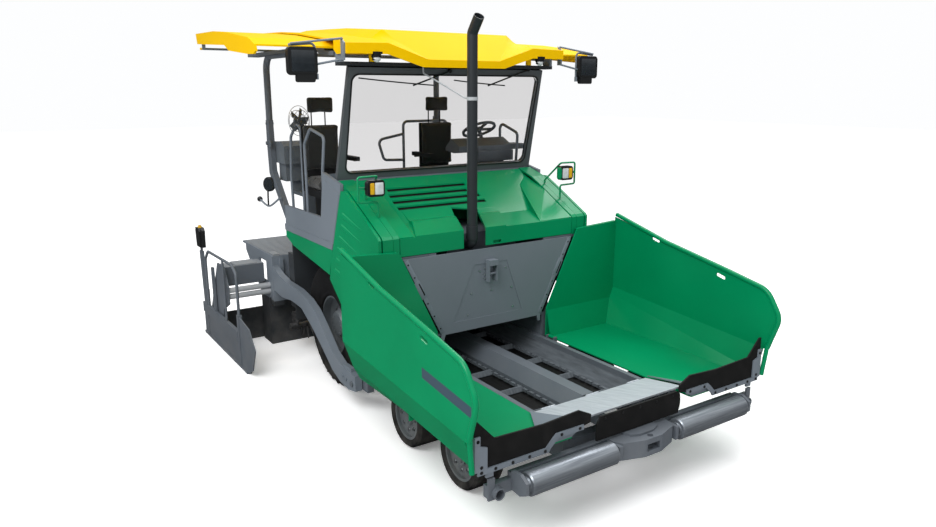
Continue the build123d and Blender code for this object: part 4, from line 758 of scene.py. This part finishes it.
# %% Rear tyres
def tyre_piece(side, edge):
    """A spun carcass with four rows of blocks. The outer rows droop over the shoulder."""
    centre = from_axle(0, edge * TYRE_Y, TYRE_R)
    shape = bmesh.new()
    section = half_section + [(radius, -offset) for radius, offset in reversed(half_section[:-1])]
    corners = [shape.verts.new(centre + Vector((radius, offset, 0))) for radius, offset in section]
    loop = [shape.edges.new(pair) for pair in zip(corners, corners[1:] + corners[:1])]
    bmesh.ops.spin(shape, geom=corners + loop, cent=centre, axis=(0, 1, 0), angle=math.tau, steps=SLICES,
                   use_merge=True)
    bmesh.ops.remove_doubles(shape, verts=shape.verts, dist=0.0001)
    bmesh.ops.recalc_face_normals(shape, faces=shape.faces)
    twist = Matrix.Rotation(BLOCK_TWIST, 4, "Z")
    for step in range(BLOCKS_ROUND):
        for shift, offset in block_rows:
            turn = Matrix.Rotation(math.tau * (step + shift) / BLOCKS_ROUND, 4, "Y")
            seat = Matrix.Translation(centre) @ turn @ Matrix.Translation((0, offset, BLOCK_SEAT_R)) @ twist
            half_width = 0.032
            if abs(offset) > SHOULDER:
                half_width = 0.034
                seat = seat @ Matrix.Rotation(math.copysign(SHOULDER_DROOP, -offset), 4, "X")
            add_block(shape, (-0.050, -half_width, -0.012), (0.050, half_width, 0.0068), 0.004, seat)
    tyre = finished(f"tyre_{side}", shape, tyre_rubber, f"rear_wheel_{side}", 30)
    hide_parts(f"rear_tyre_{side}")
    return tyre


for side, edge in SIDES.items():
    print(tyre_piece(side, edge).name)

# %% [markdown]
# Wheel nuts sit in a ring. A short helper turns a ring's radius and count into places on the wheel's face,
# and serves the rear hubs and the front rims alike.

# %% Wheel nuts and hub caps
FRONT_AXLES = {"rear": 1.720, "lead": 2.600}
FRONT_TYRE_R, FRONT_FACE_Y, HUB_END_Y = 0.280, 1.145, 1.1665
CAP_R, CAP_H = 0.052, 0.012
# Each ring: its radius, how many nuts it has, and the radius of one.
REAR_NUTS, HUB_SCREWS, FRONT_NUTS = (0.198, 10, 0.017), (0.105, 12, 0.008), (0.128, 8, 0.012)


def nut_ring(name, centre, edge, ring, material, wheel):
    """A ring of nuts round a wheel's axle, facing outwards."""
    radius, count, nut_r = ring
    turns = [math.tau * step / count for step in range(count)]
    places = [centre + Vector((math.cos(turn) * radius, 0, math.sin(turn) * radius)) for turn in turns]
    return bolts(name, places, (0, edge, 0), nut_r, material, wheel)


for side, edge in SIDES.items():
    wheel = f"rear_wheel_{side}"
    disc_face = from_axle(0, edge * (TYRE_Y + 0.030), TYRE_R)
    nut_ring(f"rear_nuts_{side}", disc_face, edge, REAR_NUTS, zinc, wheel)
    hub_face = from_axle(0, edge * (TYRE_Y + 0.120), TYRE_R)
    nut_ring(f"rear_hub_screws_{side}", hub_face, edge, HUB_SCREWS, wheel_grey, wheel)
    for place, axle_x in FRONT_AXLES.items():
        wheel = f"front_wheel_{place}_{side}"
        face = from_axle(axle_x, edge * FRONT_FACE_Y, FRONT_TYRE_R)
        nut_ring(f"front_nuts_{place}_{side}", face, edge, FRONT_NUTS, zinc, wheel)
        hub_end = from_axle(axle_x, edge * HUB_END_Y, FRONT_TYRE_R)
        disc(f"front_cap_{place}_{side}", hub_end, (0, edge, 0), CAP_R, CAP_H, wheel_grey, wheel, sides=32,
             taper=0.9)
print("wheels dressed")

# %% [markdown]
# ## Seats
# A driver's seat is foam under a stitched cover. Real foam swells most in the middle and is pulled in at
# the seams, so each cushion is blown up by a short cloth simulation with a little pressure inside, which
# gives that crown for free. An even mesh of small squares swells without creases, so a remesh comes first,
# and the result is frozen into the mesh, so nothing is left running.

# %% Seat cover finish
cover, tree, shader = new_material("seat cover")
cloth = grouped(tree, skin, Color=(0.012, 0.014, 0.014, 1), Bloom_Color=(0.022, 0.030, 0.027, 1),
                Grain=700.0, Depth=0.25)
feed(tree, shader, Base_Color=cloth.outputs["Color"], Normal=cloth.outputs["Normal"],
     Roughness=stretch(tree, cloth.outputs["Mask"], onto=(0.7, 0.85)), Sheen_Weight=0.25)
print("finish", cover.name)

# %% A swollen cushion
FOAM_PRESSURE, SWELL_STEPS, VOXEL = 4.0, 15, 0.008


def bake(thing):
    """Applies a piece's modifiers to its mesh."""
    settled = bpy.data.meshes.new_from_object(thing.evaluated_get(bpy.context.evaluated_depsgraph_get()))
    thing.modifiers.clear()
    thing.data = settled


def cushion(name, low, high, cap, fill):
    """A foam block swollen by cloth pressure, by no more than the cap anywhere, then frozen."""
    shape = bmesh.new()
    add_block(shape, low, high, min(Vector(high) - Vector(low)) * 0.32)
    bmesh.ops.recalc_face_normals(shape, faces=shape.faces)
    pad = finished(name, shape, cover, root, 80)
    remesh = pad.modifiers.new("even", "REMESH")
    remesh.mode = "VOXEL"
    remesh.voxel_size = VOXEL
    remesh.use_smooth_shade = True
    bake(pad)
    start = [corner.co.copy() for corner in pad.data.vertices]
    cloth_step = pad.modifiers.new("swell", "CLOTH")
    cloth_step.settings.use_pressure = True
    cloth_step.settings.uniform_pressure_force = FOAM_PRESSURE
    cloth_step.settings.effector_weights.gravity = 0.0
    cloth_step.settings.quality = 4
    for step in range(1, SWELL_STEPS + 1):
        bpy.context.scene.frame_set(step)
    bake(pad)
    bpy.context.scene.frame_set(1)
    for corner, before in zip(pad.data.vertices, start):
        moved = corner.co - before
        if moved.length > cap:
            corner.co = before + moved * (cap / moved.length)
    pad.data.shade_smooth()
    return pad


print("cushions can be blown up")

# %% [markdown]
# Both seats carry the same three pads, so each pad is measured once from the middle of its seat: two
# corners with their heights above the ground, then how far it may swell, and how full of foam it is.

# %% Cushions
seats = {"right": (-0.550, -0.930), "left": (-0.450, 0.505)}
seat_pads = (("cushion", (-0.020, -0.212, 2.138), (0.418, 0.212, 2.240), 0.016, 0.8),
             ("backrest", (-0.050, -0.210, 2.312), (0.022, 0.210, 2.808), 0.014, 0.8),
             ("headrest", (-0.038, -0.146, 2.938), (0.028, 0.146, 3.102), 0.008, 0.9))
pads = []
for label, (seat_x, seat_y) in seats.items():
    for name, low, high, cap, fill in seat_pads:
        corners = [from_axle(seat_x + x, seat_y + y, z) for x, y, z in (low, high)]
        pads.append(cushion(f"{name}_{label}", *corners, cap, fill))
for pad in pads:
    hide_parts("seats")
print("pads", [len(pad.data.polygons) for pad in pads])

# %% [markdown]
# ## Windscreen
# Two wipers hang from pivots on the top rail. Each is an arm that bends once and a blade that sags a
# little in the middle. They lie in the sloping plane of the screen, and every point is lifted out of that
# plane a little, along the direction found for the frame.

# %% Wipers
ARM_R, BLADE_R, PIVOT_R, PIVOT_H = 0.008, 0.0065, 0.022, 0.026
CLEAR_OF_SCREEN = 0.012
BLADE_SAG = Vector((0, 0, 0.008))
# Each wiper: its pivot, its elbow, and its blade's two ends.
wipers = {
    "left": ((0.714, -0.055, 3.371), (0.677, -0.462, 3.227),
             (0.694, -1.053, 3.292), (0.678, -0.226, 3.228)),
    "right": ((0.720, 0.935, 3.397), (0.677, 0.440, 3.227),
              (0.690, 0.013, 3.279), (0.678, 0.662, 3.228)),
}
for label, points in wipers.items():
    pivot, elbow, tip, heel = [from_axle(*point) + out_of_screen * CLEAR_OF_SCREEN for point in points]
    arm = [pivot + out_of_screen * 0.012, pivot.lerp(elbow, 0.35) + out_of_screen * 0.014,
           elbow + out_of_screen * 0.006]
    rod(f"wiper_arm_{label}", arm, ARM_R, satin_black, root)
    rod(f"wiper_blade_{label}", [tip, tip.lerp(heel, 0.5) - BLADE_SAG, heel], BLADE_R, satin_black, root)
    base = pivot - out_of_screen * 0.006
    disc(f"wiper_pivot_{label}", base, out_of_screen, PIVOT_R, PIVOT_H, satin_black, root, sides=20,
         taper=0.85)
print("wipers", len(wipers))

# %% [markdown]
# ## Lamps and mirrors
# The headlamps stand on the hood in green guards: each has a ribbed clear lens and an amber indicator
# beside it. The mirrors get a dark reflective face. Lenses are thin rounded slabs set just proud, and a
# small clear globe hangs under each front corner of the roof.

# %% Lenses and mirror faces
# Each slab: its spans ahead, to the side and above the ground, then its rounding and its finish.
slabs = {
    "headlamp_lens": ((1.183, 1.199), (1.072, 1.158), (2.252, 2.364), 0.008, clear_lens),
    "indicator_lens": ((1.183, 1.200), (1.163, 1.208), (2.254, 2.362), 0.008, amber_lens),
    "mirror_face": ((0.898, 0.902), (1.560, 1.770), (3.335, 3.515), 0.002, dark_glass),
}
for side, edge in SIDES.items():
    for name, measures in slabs.items():
        slab(f"{name}_{side}", edge, *measures, root)
    shape = bmesh.new()
    globe = Matrix.Translation(from_axle(0.905, edge * 0.960, 3.463))
    bmesh.ops.create_uvsphere(shape, u_segments=32, v_segments=16, radius=0.037, matrix=globe)
    finished(f"roof_lamp_{side}", shape, clear_lens, root)
print("lamps and mirrors dressed")

# %% [markdown]
# ## Round lamp, fan and knobs
# A round work lamp stands on a bent pipe behind the right-hand post, and the pipe ends in a black knob.
# The lamp is a cone for its back, a drum for its rim and a thin lens.

# %% Round lamp on its pipe
pipe_points = ((-1.150, -1.228, 1.950), (-1.330, -1.245, 1.860), (-1.500, -1.250, 1.800),
               (-1.660, -1.250, 1.815), (-1.815, -1.250, 1.850))
stem_points = ((-1.517, -1.250, 1.806), (-1.517, -1.252, 1.900), (-1.517, -1.246, 2.000))
rod("lamp_pipe", [from_axle(*point) for point in pipe_points], 0.012, light_grey, root)
rod("lamp_stem", [from_axle(*point) for point in stem_points], 0.010, satin_black, root)
lamp_way = Vector((0.45, -0.89, 0.05)).normalized()
lamp_middle = from_axle(-1.517, -1.225, 2.070)
pipe_end = Matrix.Translation(from_axle(-1.834, -1.250, 1.854))
shape = bmesh.new()
add_disc(shape, lamp_middle - lamp_way * 0.045, lamp_way, 0.060, 0.030, 32, 1.4)
add_disc(shape, lamp_middle - lamp_way * 0.015, lamp_way, 0.088, 0.030, 32)
bmesh.ops.create_uvsphere(shape, u_segments=24, v_segments=12, radius=0.034, matrix=pipe_end)
finished("round_lamp", shape, satin_black, root)
disc("round_lamp_lens", lamp_middle + lamp_way * 0.0152, lamp_way, 0.078, 0.004, dark_glass, root,
     sides=32, taper=0.96)
print("round lamp hung")

# %% [markdown]
# A small fan is clamped to the rail behind the right seat. Its cage is rings of wire with straight spokes:
# a ring is a closed curve, which keeps its thickness even all the way round.

# %% Cage of the fan
WIRE_R, SPOKES = 0.003, 16
fan_middle = from_axle(-0.880, -1.050, 2.840)
fan_stand = facing(fan_middle, (0.90, 0.42, 0.05))
# Each ring of wire: its radius, and how far ahead of the fan's middle it stands.
fan_rings = {"outer": (0.170, 0.0), "front": (0.120, 0.035),
             "middle": (0.070, 0.045), "back": (0.120, -0.035)}
turns = [math.tau * step / SPOKES for step in range(SPOKES)]
for label, (radius, depth) in fan_rings.items():
    ring = [fan_stand @ Vector((math.cos(turn) * radius, math.sin(turn) * radius, depth)) for turn in turns]
    rod(f"fan_{label}", ring, WIRE_R, zinc, root, closed=True)
print("fan rings", len(fan_rings))

# %% Blades and neck of the fan
BLADES = 5
pitch = Matrix.Rotation(math.radians(28), 4, "X")
shape = bmesh.new()
for step in range(SPOKES):
    spoke = fan_stand @ Matrix.Rotation(math.tau * step / SPOKES, 4, "Z")
    add_block(shape, (0.0, -0.0015, 0.0445), (0.118, 0.0015, 0.0475), 0.0005, spoke)
for step in range(BLADES):
    blade = fan_stand @ Matrix.Rotation(math.tau * step / BLADES, 4, "Z") @ pitch
    add_block(shape, (0.020, -0.045, -0.002), (0.140, 0.045, 0.002), 0.0015, blade)
fan_way = fan_stand.to_3x3() @ Vector((0, 0, 1))
add_disc(shape, fan_stand @ Vector((0, 0, -0.060)), fan_way, 0.034, 0.075, 24)
finished("fan_blades", shape, grey_plastic, root, 30)
neck = [fan_stand @ Vector((0, 0, -0.040)), from_axle(-0.915, -1.085, 2.780),
        from_axle(-0.880, -1.108, 2.745)]
rod("fan_neck", neck, 0.010, satin_black, root)
print("fan clamped")

# %% [markdown]
# Each control box on an end gate has one large yellow knob on top. It rides on the screed's extension, as
# the box does.

# %% Knobs on the control boxes
KNOB_R, KNOB_H = 0.026, 0.030
for side, edge in SIDES.items():
    box_top = from_axle(-2.560, edge * 1.8325, 1.440)
    disc(f"control_knob_{side}", box_top, (0, 0, 1), KNOB_R, KNOB_H, knob_yellow,
         f"screed_extension_{side}", taper=0.7)
print("knobs", len(SIDES))

# %% [markdown]
# ## Floor, light and camera
# The backdrop is a plain pale floor that runs out into a pale sky, with soft light from all round. Glossy
# paint would mirror such a bright room and turn milky, so rays that come off a gloss see a darker room
# that only brightens overhead, the way black flags are hung round a car in a studio.

# %% Helper that tells rays apart
def rays(tree):
    """How much a ray comes straight from the lens or through glass, and how much off a gloss."""
    kind = add(tree, "ShaderNodeLightPath")
    straight = maths(tree, "MAXIMUM", kind.outputs["Is Camera Ray"], kind.outputs["Is Transmission Ray"])
    return straight, kind.outputs["Is Glossy Ray"]


print("rays can be told apart")

# %% [markdown]
# A long floor always shows a horizon. Where the lens sees it, straight or through glass, this floor is
# pushed a little past white and given a faint glow, so that it melts into the sky. The light it throws back
# stays that of a pale floor, and the glow isn't sampled as a lamp.

# %% Floor
FLOOR_REACH, FLOOR_GLOW = 60, 0.16
WASHED_WHITE = (1.22, 1.22, 1.22, 1)
FLAG_GREY = (0.06, 0.06, 0.062, 1)
floor_mesh = bpy.data.meshes.new("floor")
shape = bmesh.new()
bmesh.ops.create_grid(shape, x_segments=1, y_segments=1, size=FLOOR_REACH)
shape.to_mesh(floor_mesh)
shape.free()
floor = bpy.data.objects.new("floor", floor_mesh)
bpy.context.scene.collection.objects.link(floor)
floor_paint, tree, shader = new_material("studio floor")
floor_paint.cycles.emission_sampling = "NONE"
straight, off_gloss = rays(tree)
pale = grouped(tree, paint, Color=(0.80, 0.80, 0.80, 1), Deep_Color=(0.79, 0.79, 0.79, 1), Cloud_Size=2.0,
               Ripple=0.0)
flagged = blend(tree, off_gloss, pale.outputs["Color"], FLAG_GREY)
feed(tree, shader, Base_Color=blend(tree, straight, flagged, WASHED_WHITE), Roughness=0.7,
     Specular_IOR_Level=0.0, Emission_Color=(1, 1, 1, 1),
     Emission_Strength=maths(tree, "MULTIPLY", straight, FLOOR_GLOW))
floor_mesh.materials.append(floor_paint)
print("floor ready")

# %% [markdown]
# The sky is one colour whose strength depends on the ray: full where the lens sees it, dim near the
# horizon and bright overhead for a gloss, and an even, slightly weaker glow for everything it lights.

# %% Sky
world = bpy.data.worlds.new("studio")
bpy.context.scene.world = world
world.use_nodes = True
tree = world.node_tree
direction = add(tree, "ShaderNodeTexCoord").outputs["Generated"]
height = add(tree, "ShaderNodeSeparateXYZ", Vector=direction).outputs["Z"]
straight, off_gloss = rays(tree)
ambient = stretch(tree, height, (0.0, 1.0), (0.62, 0.80))
overhead = stretch(tree, height, (0.10, 0.75), (0.10, 0.95))
room = add(tree, "ShaderNodeMix", {"data_type": "FLOAT"}, i0=off_gloss, i2=ambient, i3=overhead)
backdrop = add(tree, "ShaderNodeMix", {"data_type": "FLOAT"}, i0=straight, i2=room.outputs[0], i3=1.0)
feed(tree, tree.nodes["Background"], Color=(0.985, 0.992, 1.0, 1), Strength=backdrop.outputs[0])
print("sky ready")

# %% [markdown]
# Two large soft lamps give the machine its shape: a key from the front right that draws the shadow under
# it, and a weaker one from above the far side. Both look at the middle of the body.

# %% Lamps
def soft_lamp(name, place, aim, size, watts):
    """A square area lamp that looks at a point."""
    light = bpy.data.lights.new(name, "AREA")
    light.size = size
    light.energy = watts
    lamp = bpy.data.objects.new(name, light)
    bpy.context.scene.collection.objects.link(lamp)
    lamp.location = place
    lamp.rotation_euler = (Vector(place) - Vector(aim)).to_track_quat("Z", "Y").to_euler()


LAMPS_AIM, LAMP_SIZE = (0.5, 0.0, 1.0), 6.0
soft_lamp("key", (4.0, -7.0, 9.0), LAMPS_AIM, LAMP_SIZE, 680)
soft_lamp("top", (-1.0, 4.0, 9.0), LAMPS_AIM, LAMP_SIZE, 500)
print("studio ready")

# %% [markdown]
# The camera stands three metres up, ahead of the machine and to its right, and looks a little down on it,
# so that the inside of the hopper shows. Its lens is a moderate wide angle.

# %% Camera
CAMERA_PLACE, LENS = (7.1407, -4.1185, 3.1830), 28.06
AZIMUTH, ELEVATION = math.radians(56.257), math.radians(13.407)
camera_data = bpy.data.cameras.new("camera")
camera_data.sensor_width = 36.0
camera_data.lens = LENS
camera = bpy.data.objects.new("camera", camera_data)
bpy.context.scene.collection.objects.link(camera)
back = Vector((math.sin(AZIMUTH) * math.cos(ELEVATION), -math.cos(AZIMUTH) * math.cos(ELEVATION),
               math.sin(ELEVATION)))
camera.location = from_axle(*CAMERA_PLACE)
camera.rotation_euler = back.to_track_quat("Z", "Y").to_euler()
bpy.context.scene.camera = camera
bpy.context.scene.view_settings.view_transform = "Standard"
print("camera", tuple(round(value, 3) for value in camera.location))
